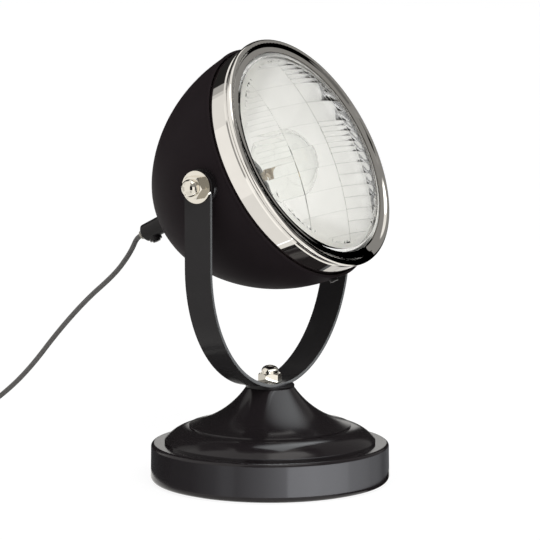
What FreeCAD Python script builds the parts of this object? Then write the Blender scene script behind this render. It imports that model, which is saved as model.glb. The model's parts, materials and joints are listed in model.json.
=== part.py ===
import FreeCAD, Part
import math
import os
from FreeCAD import Placement, Rotation, Vector

# Tabletop searchlight lamp, millimetres. Origin: centre of the base's underside. +Z is up.
# The lens faces -Y and the head tilts about an axis along X. One STEP file per sub-part.

OUT = "parts"
past = 1.0               # a cutting tool reaches this far past what it cuts
touching = 1e-6

# ---- base: spun shell, weight and closing plate
base_r = 77.5            # foot of the shell
base_draft = 0.3         # how much narrower the wall is at the ledge
foot_round = 3.5
edge_round = 2.2
shell_wall = 1.5
shell_lift = 0.8         # gap between the shell's rim and the table
ledge_z = 25.5
ledge_w = 9.1            # from the wall in to the step
step_riser = 1.6         # upright foot of the convex step
step_arc_r = 23.0
step_w = 15.9            # from the step's foot in to the ring
step_h = 10.8            # from the ledge up to the ring
ring_w = 2.2
ring_h = 1.0
ring_shoulder = 0.6      # from the ring up to the foot of the concave flare
flare_arc_r = 59.0
flare_h = 24.1           # from the flare's foot to the neck's flat top
neck_r = 15.8
neck_edge = 0.3          # bevel round the neck's flat top
neck_top_wall = 2.0
distance_tube_wall = 3.0
lip_w = 5.5              # from the foot in to the opening in the underside
pad_gap = 0.4
plate_t = 1.2
plate_gap = 0.6
weight_inset = 9.5       # from the foot in to the weight
weight_h = 14.0
plate_screw_inset = 32.5  # from the foot in to the plate's screws
plate_screw_count = 3
plate_screw_r = 1.95
plate_screw_head_r = 3.5
plate_screw_head_h = 1.9
plate_screw_l = 10.0

# ---- fasteners shared by the base and the tilt pivots
bolt_r = 3.95
running_gap = 0.08       # radial, bolt in a turning hole
fixed_gap = 0.1          # radial, bolt in a hole that does not turn
thread_gap = 0.05        # radial, male thread in female thread
bolt_head_af = 13.0
bolt_head_h = 5.3
nut_af = 13.5
nut_hex_h = 5.5
nut_foot_bevel = 0.65    # bevel of the hexagon's corners: at the seat, across and up
nut_foot_rise = 0.45
nut_top_drop = 0.85      # and at the top, down
nut_dome_r = 5.6
nut_dome_side = 1.2      # upright part of the dome
nut_shoulder_r = 3.5     # from the upright part to the crown
nut_shoulder_turn = 58.5
nut_bore_l = 8.0
base_nut_turn_deg = -17.6
bolt_end_gap = 0.6       # from the bolt's tip to the blind end of the dome nut
bolt_tip = 0.8           # bevel at the bolt's tip
face_gap = 0.05          # between flat faces that slide on each other

# ---- yoke: one flat bar, bent into a U
strap_w = 19.0
strap_t = 2.2
yoke_gap = 3.3           # from the bowl's rim to the inside of the bar
yoke_upright = 51.4      # straight part of each arm, up to the tilt axis
swivel_washer_t = 0.3
swivel_washer_inset = 1.8    # the washer is smaller than the neck
saddle_t = 0.5           # thickness of the saddle under the middle of the bar

# ---- head: everything is drawn about its own axis, then tilted up
tilt_deg = 27.0
head_rise = 1.2          # head axis above the tilt axis
bowl_wall = 1.2
bowl_mouth_a = 18.2      # along the head axis, ahead of the tilt axis
bowl_mouth_gap = 1.9     # from the bezel's band to the bowl's rim
bowl_side_arc_r = 115.6
bowl_mouth_slope = 1.5   # degrees
bowl_side_turn = 46.0    # degrees of the side arc, up to the nose arc
hem_r = 0.95             # rolled edge of the bowl
hem_inset = 0.6
hem_proud = 0.4          # how far the rolled edge stands out of the bowl's side

bezel_flange_gap = 4.7   # from the glass's flange to the outside of the band
bezel_wall = 1.2
bezel_skirt_l = 7.2      # band inside the bowl
bezel_band_l = 11.4      # band ahead of the bowl
bead_ahead = 4.4         # from the band's end to the bead's centre
bead_inset = 1.0         # from the band in to the bead's centre
bead_r = 2.3
bead_neck_inset = 0.6    # depth of the groove behind the bead
bead_neck_slope = 0.8
cove_turn_deg = 51.5     # where the cove leaves the bead, from the bead's front
cove_dip = 0.9           # depth of the cove between bead and lens
bezel_lip_gap = 0.3      # from the visible glass to the lip
bezel_lip_ahead = 0.8    # from the bead's centre to the lip
bezel_lip_t = 1.2
gasket_pocket_gap = 0.2
pocket_bevel = 1.4       # inside the band, behind the gasket
pocket_slope = 1.8
bezel_screw_behind = 4.6     # from the bowl's mouth to the screw
bezel_screw_r = 1.5
bezel_screw_head_r = 2.7
bezel_screw_head_h = 1.6
bezel_screw_l = 6.0
screw_slot_w = 0.7       # slot in the heads of bezel screw and grip screw
screw_slot_d = 0.8

lens_r = 69.4            # visible edge of the glass
lens_sag = 15.5
lens_edge_drop = 0.1     # the glass's edge lies behind the bezel's lip
lens_t = 3.5
lens_flange_w = 3.5
lens_flange_t = 3.0
gasket_t = 0.8
gasket_in_gap = 0.5      # from the visible glass out to the gasket
gasket_over = 0.3        # the gasket is wider than the glass's flange

reflector_t = 1.0
reflector_mouth_inset = 3.4  # from the visible glass in to the reflector's mouth
reflector_depth = 49.5
holder_r = 14.0          # lampholder for a small screw cap
holder_hole_gap = 0.1
holder_seat_r = 18.0     # flat seat round the hole in the reflector
holder_flange_r = 17.0
holder_flange_t = 2.5
holder_front = 6.5       # how far the holder stands through the reflector
holder_back = 38.0
holder_back_bevel = 3.0
holder_mouth_r = 11.0    # bore ahead of the thread
holder_mouth_l = 11.0
holder_thread_l = 18.0
holder_ring_t = 4.0
holder_ring_notches = 12
holder_notch_r = 0.8
cap_r = 6.9
cap_l = 22.0
cap_tip_r = 2.5
cap_tip_l = 1.5
cap_collar_r = 8.6
cap_collar_l = 3.0
cap_collar_bevel = 1.0
globe_r = 22.5
globe_neck_r = 8.2
globe_neck_l = 6.0
globe_neck_flare = 1.0   # the neck widens up to the globe
globe_wall = 0.7
filament_r = 0.6
filament_l = 14.0
filament_lead_r = 0.4
filament_stem_r = 3.0
filament_stem_l = 16.0
filament_rise = 8.0      # from the stem up to the filament
filament_inset = 1.0     # from the ends of stem and filament to the lead wires

clip_count = 3
clip_first_deg = 263.0
clip_w = 8.0
clip_t = 0.8
clip_skirt_gap = 0.2
clip_l = 9.8
clip_reach = 6.0

# ---- tilt pivots, the same at both ends
pivot_washer_r = 10.25
pivot_washer_t = 1.6
spacer_r = 11.0
fibre_washer_r = 9.4
fibre_washer_t = 0.45
spacer_sunk = 12.0       # blank of the spacer, cut back to the bowl
pad_r = 9.0
pad_t = 2.75             # least thickness of the shaped pad inside the bowl
pivot_head_t = 3.0
pivot_head_r = 7.0

# ---- cord grip at the back of the bowl
grip_rise = 4.2          # grip axis above the head axis
grip_r = 5.9
grip_l = 26.9            # behind the bowl's apex
grip_chamfer = 1.8
grip_blank_in = 4.0      # blank of the grip, cut back to the bowl
grip_boss_r = 4.2
grip_boss_from_end = 7.2
grip_boss_reach = 7.4
grip_screw_r = 2.0
grip_screw_head_r = 2.6
grip_screw_head_h = 1.1
grip_screw_gap = 0.1     # from the screw's tip to the cord
bush_r = 2.9
bush_out = 2.6           # how far the bush stands out of the grip
bush_in = 4.0
bush_bevel = 0.5
cord_d = 3.4
cord_gap = 0.1
cord_straight = 3.9      # straight run of the cord behind the bush
nipple_r = 5.0
nipple_bore_r = 2.6
nipple_in_grip = 10.0
nipple_end_gap = 0.3
nipple_in_bowl = 7.0
locknut_af = 14.0
locknut_t = 3.0

# ---- what lies on the cord
switch_l = 56.0
switch_w = 20.0
switch_h = 13.0
switch_split_z = 6.2
switch_round = 2.5       # round the top
switch_corner_r = 7.7    # seen from above
switch_wall = 1.6
switch_at = Vector(-96.0, 242.0, 0.0)
rocker_w = 9.0
rocker_half = 6.5
rocker_gap = 0.35
rocker_rest_deg = 7.0
rocker_pin_r = 1.2
rocker_pin_l = 1.4
rocker_axis_drop = 2.6   # pivot below the switch's top
rocker_crest = 3.5
rocker_valley = 2.2
rocker_under = 2.0       # below the pivot
rocker_room = 6.0        # clear height each side of the pivot, for the rocker's swing
rocker_end_gap = 1.0
bearing_w = 5.0          # block in the housing that carries the rocker's pins
bearing_wall = 0.8
bearing_under = 2.4
pin_end_gap = 0.6
switch_screw_r = 1.2
switch_screw_head_r = 2.2
switch_screw_recess = 0.3
switch_screw_end_gap = 1.0
switch_post_r = 2.8
switch_screw_inset = 8.0     # from the switch's end
switch_screw_side = 4.8      # from the switch's side
plug_at = Vector(19.0, 274.0, 0.0)   # rear face of the plug's body
plug_turn_deg = 32.0
plug_l = 36.0
plug_w = 26.0
plug_h = 13.6
plug_round = 3.0
relief_l = 22.0
relief_r = 4.6
relief_tip_r = 2.6
relief_grooves = 4
relief_groove_from = 4.0     # from the relief's tip
relief_groove_pitch = 4.5
relief_groove_w = 1.4
relief_groove_d = 0.6
plug_shoulder = 1.0      # left of the plug's rear face beside the relief
plug_taper_l = 14.4
pin_r = 2.0
pin_l = 19.0
pin_pitch = 18.6
pin_in_plug = 6.0
pin_tip_round = 1.2

coil_centre = Vector(-54.0, 224.0, 0.0)
coil_mid_r = 5.5 * cord_d
coil_columns = 4
coil_layers = 3
coil_turns = 11.35       # cord wound in the coil; the last place is partly empty
coil_lift = 0.8
tie_t = 0.5
tie_gap = 0.05
tie_w = 6.0
tie_at_deg = 250.0

# ---- sizes that follow from those above
step_r = base_r - ledge_w
ring_r = step_r - step_w
ring_foot_z = ledge_z + step_h
flare_foot_r = ring_r - ring_w
flare_foot_z = ring_foot_z + ring_h + ring_shoulder
neck_z = flare_foot_z + flare_h
lip_in_r = base_r - lip_w
weight_r = base_r - weight_inset
plate_screw_pcd_r = base_r - plate_screw_inset

lens_flange_r = lens_r + lens_flange_w
gasket_in_r = lens_r + gasket_in_gap
gasket_out_r = lens_flange_r + gasket_over
reflector_mouth_r = lens_r - reflector_mouth_inset
reflector_focus = reflector_mouth_r ** 2 / (4 * reflector_depth)
bezel_band_r = lens_flange_r + bezel_flange_gap
bezel_lip_r = lens_r + bezel_lip_gap
bead_centre_r = bezel_band_r - bead_inset
bead_neck_r = bezel_band_r - bead_neck_inset
bowl_mouth_r = bezel_band_r + bowl_mouth_gap

bezel_skirt_a = bowl_mouth_a - bezel_skirt_l
bezel_band_end_a = bowl_mouth_a + bezel_band_l
bezel_screw_a = bowl_mouth_a - bezel_screw_behind
bead_centre_a = bezel_band_end_a + bead_ahead
bezel_lip_a = bead_centre_a + bezel_lip_ahead
lens_edge_a = bezel_lip_a - lens_edge_drop

yoke_in_r = bowl_mouth_r + yoke_gap
yoke_out_r = yoke_in_r + strap_t     # outside of the bend, and half the outside width
saddle_r = neck_r
saddle_low = neck_z + swivel_washer_t
strap_under_z = saddle_low + saddle_t
bend_centre_z = strap_under_z + yoke_out_r
pivot_z = bend_centre_z + yoke_upright   # tilt axis above the table


# ---------------------------------------------------------------- helpers
def wire_through(start, moves, place):
    """Closed wire from 2-D points: a move is (end,) for a line or (mid, end) for an arc."""
    edges = []
    here = start
    for move in list(moves) + [(start,)]:
        end = move[-1]
        if len(move) == 2:
            edges.append(Part.Arc(place(here), place(move[0]), place(end)).toShape())
        elif math.dist(here, end) > touching:
            edges.append(Part.LineSegment(place(here), place(end)).toShape())
        here = end
    return Part.Wire(edges)


def lathe(start, *moves):
    """Solid of revolution about Z from an outline of (radius, height) points."""
    wire = wire_through(start, moves, lambda p: Vector(p[0], 0, p[1]))
    return Part.Face(wire).revolve(Vector(0, 0, 0), Vector(0, 0, 1), 360)


def slab(start, moves, low, high):
    """An outline of (x, z) points given thickness along Y."""
    wire = wire_through(start, moves, lambda p: Vector(p[0], low, p[1]))
    return Part.Face(wire).extrude(Vector(0, high - low, 0))


def tube(inner, outer, low, high):
    """Ring with a square section, round Z."""
    body = Part.makeCylinder(outer, high - low, Vector(0, 0, low))
    if inner <= 0:
        return body
    return body.cut(Part.makeCylinder(inner, high - low + 2 * past, Vector(0, 0, low - past)))


def hexagon(across_flats, height, low=0.0):
    """Hexagonal prism on Z."""
    corner = across_flats / math.sqrt(3)
    angles = [math.radians(60 * i + 30) for i in range(7)]
    points = [Vector(corner * math.cos(a), corner * math.sin(a), low) for a in angles]
    return Part.Face(Part.makePolygon(points)).extrude(Vector(0, 0, height))


def rounded_box(length, width, low, high, radius):
    """Box round Z with rounded vertical edges."""
    box = Part.makeBox(length, width, high - low, Vector(-length / 2, -width / 2, low))
    upright = [e for e in box.Edges if abs(e.tangentAt(e.FirstParameter).z) > 0.9]
    return box.makeFillet(radius, upright)


def placed(shape, position, rotation=None):
    moved = shape.copy()
    moved.Placement = Placement(position, rotation or Rotation())
    return moved


def tilted(shape):
    """From the head's own frame (Z is its axis, forward) to the lamp's frame."""
    turn = Rotation(Vector(1, 0, 0), 90 - tilt_deg)
    rise = turn.multVec(Vector(0, head_rise, 0))
    moved = shape.copy()
    moved.Placement = Placement(Vector(0, 0, pivot_z) + rise, turn).multiply(shape.Placement)
    return moved


def arc_between(start, end, radius, side):
    """Centre of the arc from start to end; side is +1 or -1."""
    chord = math.dist(start, end)
    drop = math.sqrt(radius ** 2 - chord ** 2 / 4)
    nx, nz = (end[1] - start[1]) / chord, -(end[0] - start[0]) / chord
    mid = ((start[0] + end[0]) / 2, (start[1] + end[1]) / 2)
    return (mid[0] - side * nx * drop, mid[1] - side * nz * drop)


def about(centre, point, radius):
    """The point at a radius from the centre, on the ray through a given point."""
    reach = math.dist(centre, point)
    return tuple(c + (p - c) * radius / reach for c, p in zip(centre, point))


def arc_mid(centre, start, end, radius):
    return about(centre, ((start[0] + end[0]) / 2, (start[1] + end[1]) / 2), radius)


def save(name, shape):
    os.makedirs(OUT, exist_ok=True)
    shape.exportStep(os.path.join(OUT, name + ".step"))


def group(shapes):
    return Part.makeCompound(shapes)


# ---------------------------------------------------------------- base
def shell_outline(inset):
    """Outer (inset 0) or inner (inset = wall) line of the base, from rim to neck."""
    low = shell_lift + inset
    foot = base_r - foot_round
    ledge_out = base_r - base_draft - edge_round
    diagonal = math.sqrt(0.5)
    foot_in = foot_round - inset
    edge_in = edge_round - inset
    step_foot = (step_r, ledge_z + step_riser)
    ring_foot = (ring_r, ring_foot_z)
    step_c = arc_between(step_foot, ring_foot, step_arc_r, 1)
    step_in = step_arc_r - inset
    a, b = about(step_c, step_foot, step_in), about(step_c, ring_foot, step_in)
    flare_foot = (flare_foot_r, flare_foot_z)
    flare_top = (neck_r, neck_z - neck_edge)
    flare_c = arc_between(flare_foot, flare_top, flare_arc_r, -1)
    flare_in = flare_arc_r + inset
    c, d = about(flare_c, flare_foot, flare_in), about(flare_c, flare_top, flare_in)
    return [
        ((foot, low),),
        ((foot + foot_in * diagonal, shell_lift + foot_round - foot_in * diagonal),
         (base_r - inset, shell_lift + foot_round)),
        ((base_r - base_draft - inset, ledge_z - edge_round),),
        ((ledge_out + edge_in * diagonal, ledge_z - edge_round + edge_in * diagonal),
         (ledge_out, ledge_z - inset)),
        ((step_r - inset, ledge_z - inset),),
        ((step_r - inset, a[1]),),
        (arc_mid(step_c, a, b, step_in), b),
        ((b[0], b[1] + ring_h),),
        (c,),
        (arc_mid(flare_c, c, d, flare_in), d),
    ]


def base_shell():
    outer = shell_outline(0.0) + [((neck_r - neck_edge, neck_z),), ((0, neck_z),),
                                  ((0, shell_lift),)]
    inner = shell_outline(shell_wall)
    top = neck_z - neck_top_wall
    inner += [((inner[-1][-1][0], top),), ((0, top),), ((0, shell_lift + shell_wall),)]
    body = lathe((lip_in_r, shell_lift), *outer)
    cavity = lathe((lip_in_r, shell_lift + shell_wall), *inner)
    mouth = tube(0, lip_in_r, shell_lift - past, shell_lift + shell_wall + past)
    hole = Part.makeCylinder(bolt_r + fixed_gap, neck_z)
    return body.cut(cavity).cut(mouth).cut(hole)


plate_low = shell_lift + shell_wall
weight_low = plate_low + plate_t
weight_top = weight_low + weight_h
bolt_seat_z = weight_low + bolt_head_h + plate_gap


def screw_places():
    angles = [math.radians(90 + 360 * i / plate_screw_count) for i in range(plate_screw_count)]
    reach = plate_screw_pcd_r
    return [Vector(reach * math.cos(a), reach * math.sin(a), 0) for a in angles]


def base_pad():
    pad = Part.makeCylinder(lip_in_r - pad_gap, plate_low)
    for place in screw_places():
        pad = pad.cut(Part.makeCylinder(plate_screw_head_r + pad_gap, plate_low, place))
    return pad


def base_plate():
    rim = base_r - foot_round - plate_gap
    plate = Part.makeCylinder(rim, plate_t, Vector(0, 0, plate_low))
    for place in screw_places():
        at = place + Vector(0, 0, plate_low - past)
        plate = plate.cut(Part.makeCylinder(plate_screw_r + fixed_gap, plate_t + 2 * past, at))
    return plate


def base_weight():
    weight = tube(bolt_r + fixed_gap, weight_r, weight_low, weight_top)
    pocket = bolt_head_af / math.sqrt(3) + plate_gap
    weight = weight.cut(tube(0, pocket, weight_low - past, bolt_seat_z))
    for place in screw_places():
        at = place + Vector(0, 0, weight_low)
        hole = Part.makeCylinder(plate_screw_r + thread_gap, plate_screw_l, at)
        weight = weight.cut(hole)
    return weight


def plate_screws():
    head = tube(0, plate_screw_head_r, plate_low - plate_screw_head_h, plate_low)
    shank = tube(0, plate_screw_r, plate_low, plate_low + plate_screw_l)
    screw = head.fuse(shank).removeSplitter()
    return group([placed(screw, place) for place in screw_places()])


def distance_tube():
    inner = bolt_r + fixed_gap
    return tube(inner, inner + distance_tube_wall, weight_top, neck_z - neck_top_wall)


# ---------------------------------------------------------------- fasteners
def dome_nut():
    """Cap nut with its seat at z = 0: bevelled hexagon, upright side, shoulder, crown."""
    corner = nut_af / math.sqrt(3)
    blank = lathe((0, 0), ((corner - nut_foot_bevel, 0),), ((corner, nut_foot_rise),),
                  ((corner, nut_hex_h - nut_top_drop),), ((nut_af / 2, nut_hex_h),),
                  ((0, nut_hex_h),))
    turn = math.radians(nut_shoulder_turn)
    shoulder_r = nut_dome_r - nut_shoulder_r
    shoulder_z = nut_hex_h + nut_dome_side

    def on_shoulder(angle):
        return (shoulder_r + nut_shoulder_r * math.cos(angle),
                shoulder_z + nut_shoulder_r * math.sin(angle))

    crown_foot = on_shoulder(turn)
    crown_r = crown_foot[0] / math.cos(turn)
    crown_centre_z = crown_foot[1] - crown_r * math.sin(turn)
    half_crown = (turn + math.pi / 2) / 2
    crown_mid = (crown_r * math.cos(half_crown), crown_centre_z + crown_r * math.sin(half_crown))
    dome = lathe((0, 0), ((nut_dome_r, 0),), ((nut_dome_r, shoulder_z),),
                 (on_shoulder(turn / 2), crown_foot), (crown_mid, (0, crown_centre_z + crown_r)))
    body = hexagon(nut_af, nut_hex_h).common(blank).fuse(dome)
    return body.cut(Part.makeCylinder(bolt_r + thread_gap, nut_bore_l))


def bolt(length, head):
    """Bolt from z = 0 up, with its head below z = 0."""
    tip = bolt_r - bolt_tip
    shank = lathe((0, 0), ((bolt_r, 0),), ((bolt_r, length - bolt_tip),), ((tip, length),),
                  ((0, length),))
    return shank.fuse(head).removeSplitter()


def sagitta(radius, reach):
    return radius - math.sqrt(radius ** 2 - reach ** 2)


# the flat nut stands clear of the curved bar at its corners
nut_seat_z = strap_under_z + strap_t + sagitta(yoke_in_r, nut_af / math.sqrt(3)) + face_gap


def centre_bolt():
    head = hexagon(bolt_head_af, bolt_head_h, -bolt_head_h)
    length = nut_seat_z + nut_bore_l - bolt_end_gap - bolt_seat_z
    return placed(bolt(length, head), Vector(0, 0, bolt_seat_z))


# ---------------------------------------------------------------- yoke
def yoke_strap():
    outer, inner = yoke_out_r, yoke_in_r
    low = bend_centre_z
    bar = slab(
        (-outer, pivot_z),
        [((-outer, low),), ((0, low - outer), (outer, low)), ((outer, pivot_z),),
         ((inner, pivot_z),), ((inner, low),), ((0, low - inner), (-inner, low)),
         ((-inner, pivot_z),)],
        -strap_w / 2, strap_w / 2)
    hole_r = bolt_r + running_gap
    for side in (-1, 1):
        end = Part.makeCylinder(strap_w / 2, strap_t, Vector(inner, 0, 0), Vector(1, 0, 0))
        if side < 0:
            end = placed(end, Vector(-inner - outer, 0, 0))
        bar = bar.fuse(placed(end, end.Placement.Base + Vector(0, 0, pivot_z)))
    bar = bar.removeSplitter()
    across = Part.makeCylinder(hole_r, 2 * (outer + past), Vector(-outer - past, 0, pivot_z),
                               Vector(1, 0, 0))
    return bar.cut(across).cut(Part.makeCylinder(hole_r, bend_centre_z))


def yoke_saddle():
    """Washer with a flat underside and a top that follows the bend of the bar."""
    saddle_top = strap_under_z + sagitta(yoke_out_r, saddle_r)
    block = tube(bolt_r + running_gap, saddle_r, saddle_low, saddle_top)
    bend = Part.makeCylinder(yoke_out_r, 4 * saddle_r,
                             Vector(0, -2 * saddle_r, bend_centre_z), Vector(0, 1, 0))
    return block.cut(bend)


# ---------------------------------------------------------------- head
def bowl_line(offset):
    """Points and arc middles of the bowl's outer line, moved outwards by offset."""
    slope = math.radians(bowl_mouth_slope)
    join = slope + math.radians(bowl_side_turn)
    side_c = (bowl_mouth_r - bowl_side_arc_r * math.cos(slope),
              bowl_mouth_a + bowl_side_arc_r * math.sin(slope))
    side_r = bowl_side_arc_r + offset

    def on_side(angle):
        return (side_c[0] + side_r * math.cos(angle), side_c[1] - side_r * math.sin(angle))

    mouth, knee = on_side(slope), on_side(join)
    nose_r = knee[0] / math.cos(join)
    nose_a = knee[1] + nose_r * math.sin(join)
    bend = (join + math.pi / 2) / 2
    nose_mid = (nose_r * math.cos(bend), nose_a - nose_r * math.sin(bend))
    return mouth, on_side((slope + join) / 2), knee, nose_mid, (0, nose_a - nose_r)


def nose_radius(offset):
    """Radius of the round back of the bowl."""
    join = math.radians(bowl_mouth_slope + bowl_side_turn)
    return bowl_line(offset)[2][0] / math.cos(join)


def bowl_volume(offset):
    """Solid bowl, closed at its mouth."""
    mouth, side_mid, knee, nose_mid, apex = bowl_line(offset)
    return lathe(mouth, (side_mid, knee), (nose_mid, apex), ((0, mouth[1]),))


def bowl_side_x(offset):
    """Radius of the bowl where the pivots go through."""
    slope = math.radians(bowl_mouth_slope)
    centre_r = bowl_mouth_r - bowl_side_arc_r * math.cos(slope)
    centre_a = bowl_mouth_a + bowl_side_arc_r * math.sin(slope)
    return centre_r + math.sqrt((bowl_side_arc_r + offset) ** 2 - centre_a ** 2)


def bowl_shell():
    outer = bowl_line(0.0)
    inner = bowl_line(-bowl_wall)
    shell = lathe(outer[0], (outer[1], outer[2]), (outer[3], outer[4]), (inner[4],),
                  (inner[3], inner[2]), (inner[1], inner[0]))
    hem = Part.makeTorus(bowl_mouth_r - hem_r + hem_proud, hem_r,
                         Vector(0, 0, bowl_mouth_a - hem_inset))
    shell = shell.fuse(hem).removeSplitter()
    reach = bowl_mouth_r + hem_proud + past
    shell = shell.cut(Part.makeCylinder(bolt_r + fixed_gap, 2 * reach,
                                        Vector(-reach, -head_rise, 0), Vector(1, 0, 0)))
    nipple_hole = tube(0, nipple_r + thread_gap, grip_root_a - past,
                       grip_root_a + bowl_wall + nipple_in_bowl)
    shell = shell.cut(on_grip(nipple_hole))
    return shell.cut(Part.makeCylinder(bezel_screw_r + fixed_gap, reach,
                                       Vector(0, 0, bezel_screw_a), Vector(0, -1, 0)))


def bezel_ring():
    """Band with a groove, a rolled front bead, a cove, a lip and a pocket for the gasket."""
    skirt = bezel_band_r - bezel_wall

    def on_bead(degrees):
        """A point of the bead, by its angle inwards from the front."""
        angle = math.radians(degrees)
        return (bead_centre_r - bead_r * math.sin(angle), bead_centre_a + bead_r * math.cos(angle))

    start_a = bead_centre_a - math.sqrt(bead_r ** 2 - (bead_neck_r - bead_centre_r) ** 2)
    cove_start = on_bead(cove_turn_deg)
    lip = (bezel_lip_r, bezel_lip_a)
    cove_mid = ((cove_start[0] + lip[0]) / 2, (cove_start[1] + lip[1]) / 2 - cove_dip)
    back_a = bezel_lip_a - bezel_lip_t
    pocket_r = gasket_out_r + gasket_pocket_gap
    ring = lathe(
        (bezel_band_r, bezel_skirt_a),
        ((bezel_band_r, bezel_band_end_a),),
        ((bead_neck_r, bezel_band_end_a + bead_neck_slope),),
        ((bead_neck_r, start_a),),
        (on_bead(-45), on_bead(0)),
        (on_bead(cove_turn_deg / 2), cove_start),
        (cove_mid, lip),
        ((bezel_lip_r, back_a),),
        ((pocket_r, back_a),),
        ((pocket_r + pocket_bevel, back_a - pocket_bevel),),
        ((skirt, back_a - pocket_bevel - pocket_slope),),
        ((skirt, bezel_skirt_a),),
    )
    return ring.cut(Part.makeCylinder(bezel_screw_r + thread_gap, bezel_band_r + past,
                                      Vector(0, 0, bezel_screw_a), Vector(0, -1, 0)))


def slot_cut(head_r, head_top):
    """Screwdriver slot in the top of a screw's head."""
    return Part.makeBox(2 * head_r, screw_slot_w, screw_slot_d + past,
                        Vector(-head_r, -screw_slot_w / 2, head_top - screw_slot_d))


def bezel_screw():
    """Pan-head screw through the bottom of the bowl's rim into the bezel."""
    seat = bowl_line(0.0)[0][0] + face_gap
    shank = tube(0, bezel_screw_r, seat - bezel_screw_l, seat)
    head = tube(0, bezel_screw_head_r, seat, seat + bezel_screw_head_h)
    screw = shank.fuse(head).removeSplitter()
    screw = screw.cut(slot_cut(bezel_screw_head_r, seat + bezel_screw_head_h))
    return placed(screw, Vector(0, 0, bezel_screw_a), Rotation(Vector(1, 0, 0), 90))


lens_radius = (lens_r ** 2 + lens_sag ** 2) / (2 * lens_sag)
lens_centre_a = lens_edge_a + lens_sag - lens_radius
gasket_front_a = bezel_lip_a - bezel_lip_t
flange_front_a = gasket_front_a - gasket_t
flange_back_a = flange_front_a - lens_flange_t


def on_lens(radius, sphere):
    return (radius, lens_centre_a + math.sqrt(sphere ** 2 - radius ** 2))


def lens():
    inner = lens_radius - lens_t
    return lathe(
        (0, lens_edge_a + lens_sag),
        (on_lens(lens_r / 2, lens_radius), (lens_r, lens_edge_a)),
        ((lens_r, flange_front_a),),
        ((lens_flange_r, flange_front_a),),
        ((lens_flange_r, flange_back_a),),
        ((reflector_mouth_r, flange_back_a),),
        (on_lens(reflector_mouth_r, inner),),
        (on_lens(reflector_mouth_r / 2, inner), (0, lens_centre_a + inner)),
    )


def lens_gasket():
    return tube(gasket_in_r, gasket_out_r, flange_front_a, gasket_front_a)


reflector_apex_a = flange_back_a - reflector_mouth_r ** 2 / (4 * reflector_focus)


def parabola(inner, outer, shift):
    """Edge of the reflector from one radius to another, moved back by a shift."""
    curve = Part.BSplineCurve()
    steps = 8
    radii = [inner + (outer - inner) * i / steps for i in range(steps + 1)]
    points = [Vector(r, 0, reflector_apex_a - shift + r ** 2 / (4 * reflector_focus))
              for r in radii]
    curve.interpolate(points)
    return curve.toShape(), points[0], points[-1]


holder_seat_a = reflector_apex_a + holder_seat_r ** 2 / (4 * reflector_focus)


def reflector():
    """Paraboloid with a flat seat for the lampholder and a flange behind the lens."""
    front, front_low, front_top = parabola(holder_seat_r, reflector_mouth_r, 0)
    back, back_low, back_top = parabola(holder_seat_r, reflector_mouth_r, reflector_t)
    hole = holder_r + holder_hole_gap
    flange = [front_top, Vector(lens_flange_r, 0, front_top.z),
              Vector(lens_flange_r, 0, back_top.z), back_top]
    seat = [back_low, Vector(hole, 0, back_low.z), Vector(hole, 0, front_low.z), front_low]
    edges = [front, back]
    for chain in (flange, seat):
        edges += [Part.LineSegment(p, q).toShape() for p, q in zip(chain, chain[1:])
                  if p.distanceToPoint(q) > touching]
    wire = Part.Wire(Part.__sortEdges__(edges))
    return Part.Face(wire).revolve(Vector(), Vector(0, 0, 1), 360)


holder_flange_front = holder_seat_a - reflector_t
holder_front_a = holder_seat_a + holder_front
holder_back_a = holder_flange_front - holder_flange_t - holder_back
holder_thread_a = holder_front_a - holder_mouth_l
cap_low = holder_thread_a - holder_thread_l + cap_tip_l
cap_top = cap_low + cap_l


def lampholder():
    """Sleeve with a flange behind the reflector and a threaded bore for the bulb's cap."""
    flange_back = holder_flange_front - holder_flange_t
    thread_r = cap_r + thread_gap
    return lathe(
        (0, holder_back_a),
        ((holder_r - holder_back_bevel, holder_back_a),),
        ((holder_r, holder_back_a + holder_back_bevel),),
        ((holder_r, flange_back),),
        ((holder_flange_r, flange_back),),
        ((holder_flange_r, holder_flange_front),),
        ((holder_r, holder_flange_front),),
        ((holder_r, holder_front_a),),
        ((holder_mouth_r, holder_front_a),),
        ((holder_mouth_r, holder_thread_a),),
        ((thread_r, holder_thread_a),),
        ((thread_r, holder_thread_a - holder_thread_l),),
        ((0, holder_thread_a - holder_thread_l),))


def holder_ring():
    """Shade ring that clamps the reflector against the holder's flange."""
    low, high = holder_seat_a, holder_seat_a + holder_ring_t
    ring = tube(holder_r + thread_gap, holder_flange_r, low, high)
    for i in range(holder_ring_notches):
        angle = math.radians(360 * i / holder_ring_notches)
        at = Vector(holder_flange_r * math.cos(angle), holder_flange_r * math.sin(angle), low)
        ring = ring.cut(Part.makeCylinder(holder_notch_r, holder_ring_t, at))
    return ring


def bulb_cap():
    """Screw cap with its contact at the back and a collar round the glass."""
    return lathe(
        (0, cap_low - cap_tip_l),
        ((cap_tip_r, cap_low - cap_tip_l),),
        ((cap_r, cap_low),),
        ((cap_r, cap_top - cap_collar_l),),
        ((cap_collar_r, cap_top - cap_collar_l + cap_collar_bevel),),
        ((cap_collar_r, cap_top),),
        ((0, cap_top),))


def globe_line(wall):
    """Neck, shoulder and globe of the glass, drawn in by the wall."""
    neck, radius = globe_neck_r - wall, globe_r - wall
    shoulder_a = cap_top + globe_neck_l
    shoulder_r = neck + globe_neck_flare
    centre_a = shoulder_a + math.sqrt(globe_r ** 2 - (globe_neck_r + globe_neck_flare) ** 2)
    return neck, shoulder_r, shoulder_a, centre_a, radius


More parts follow.
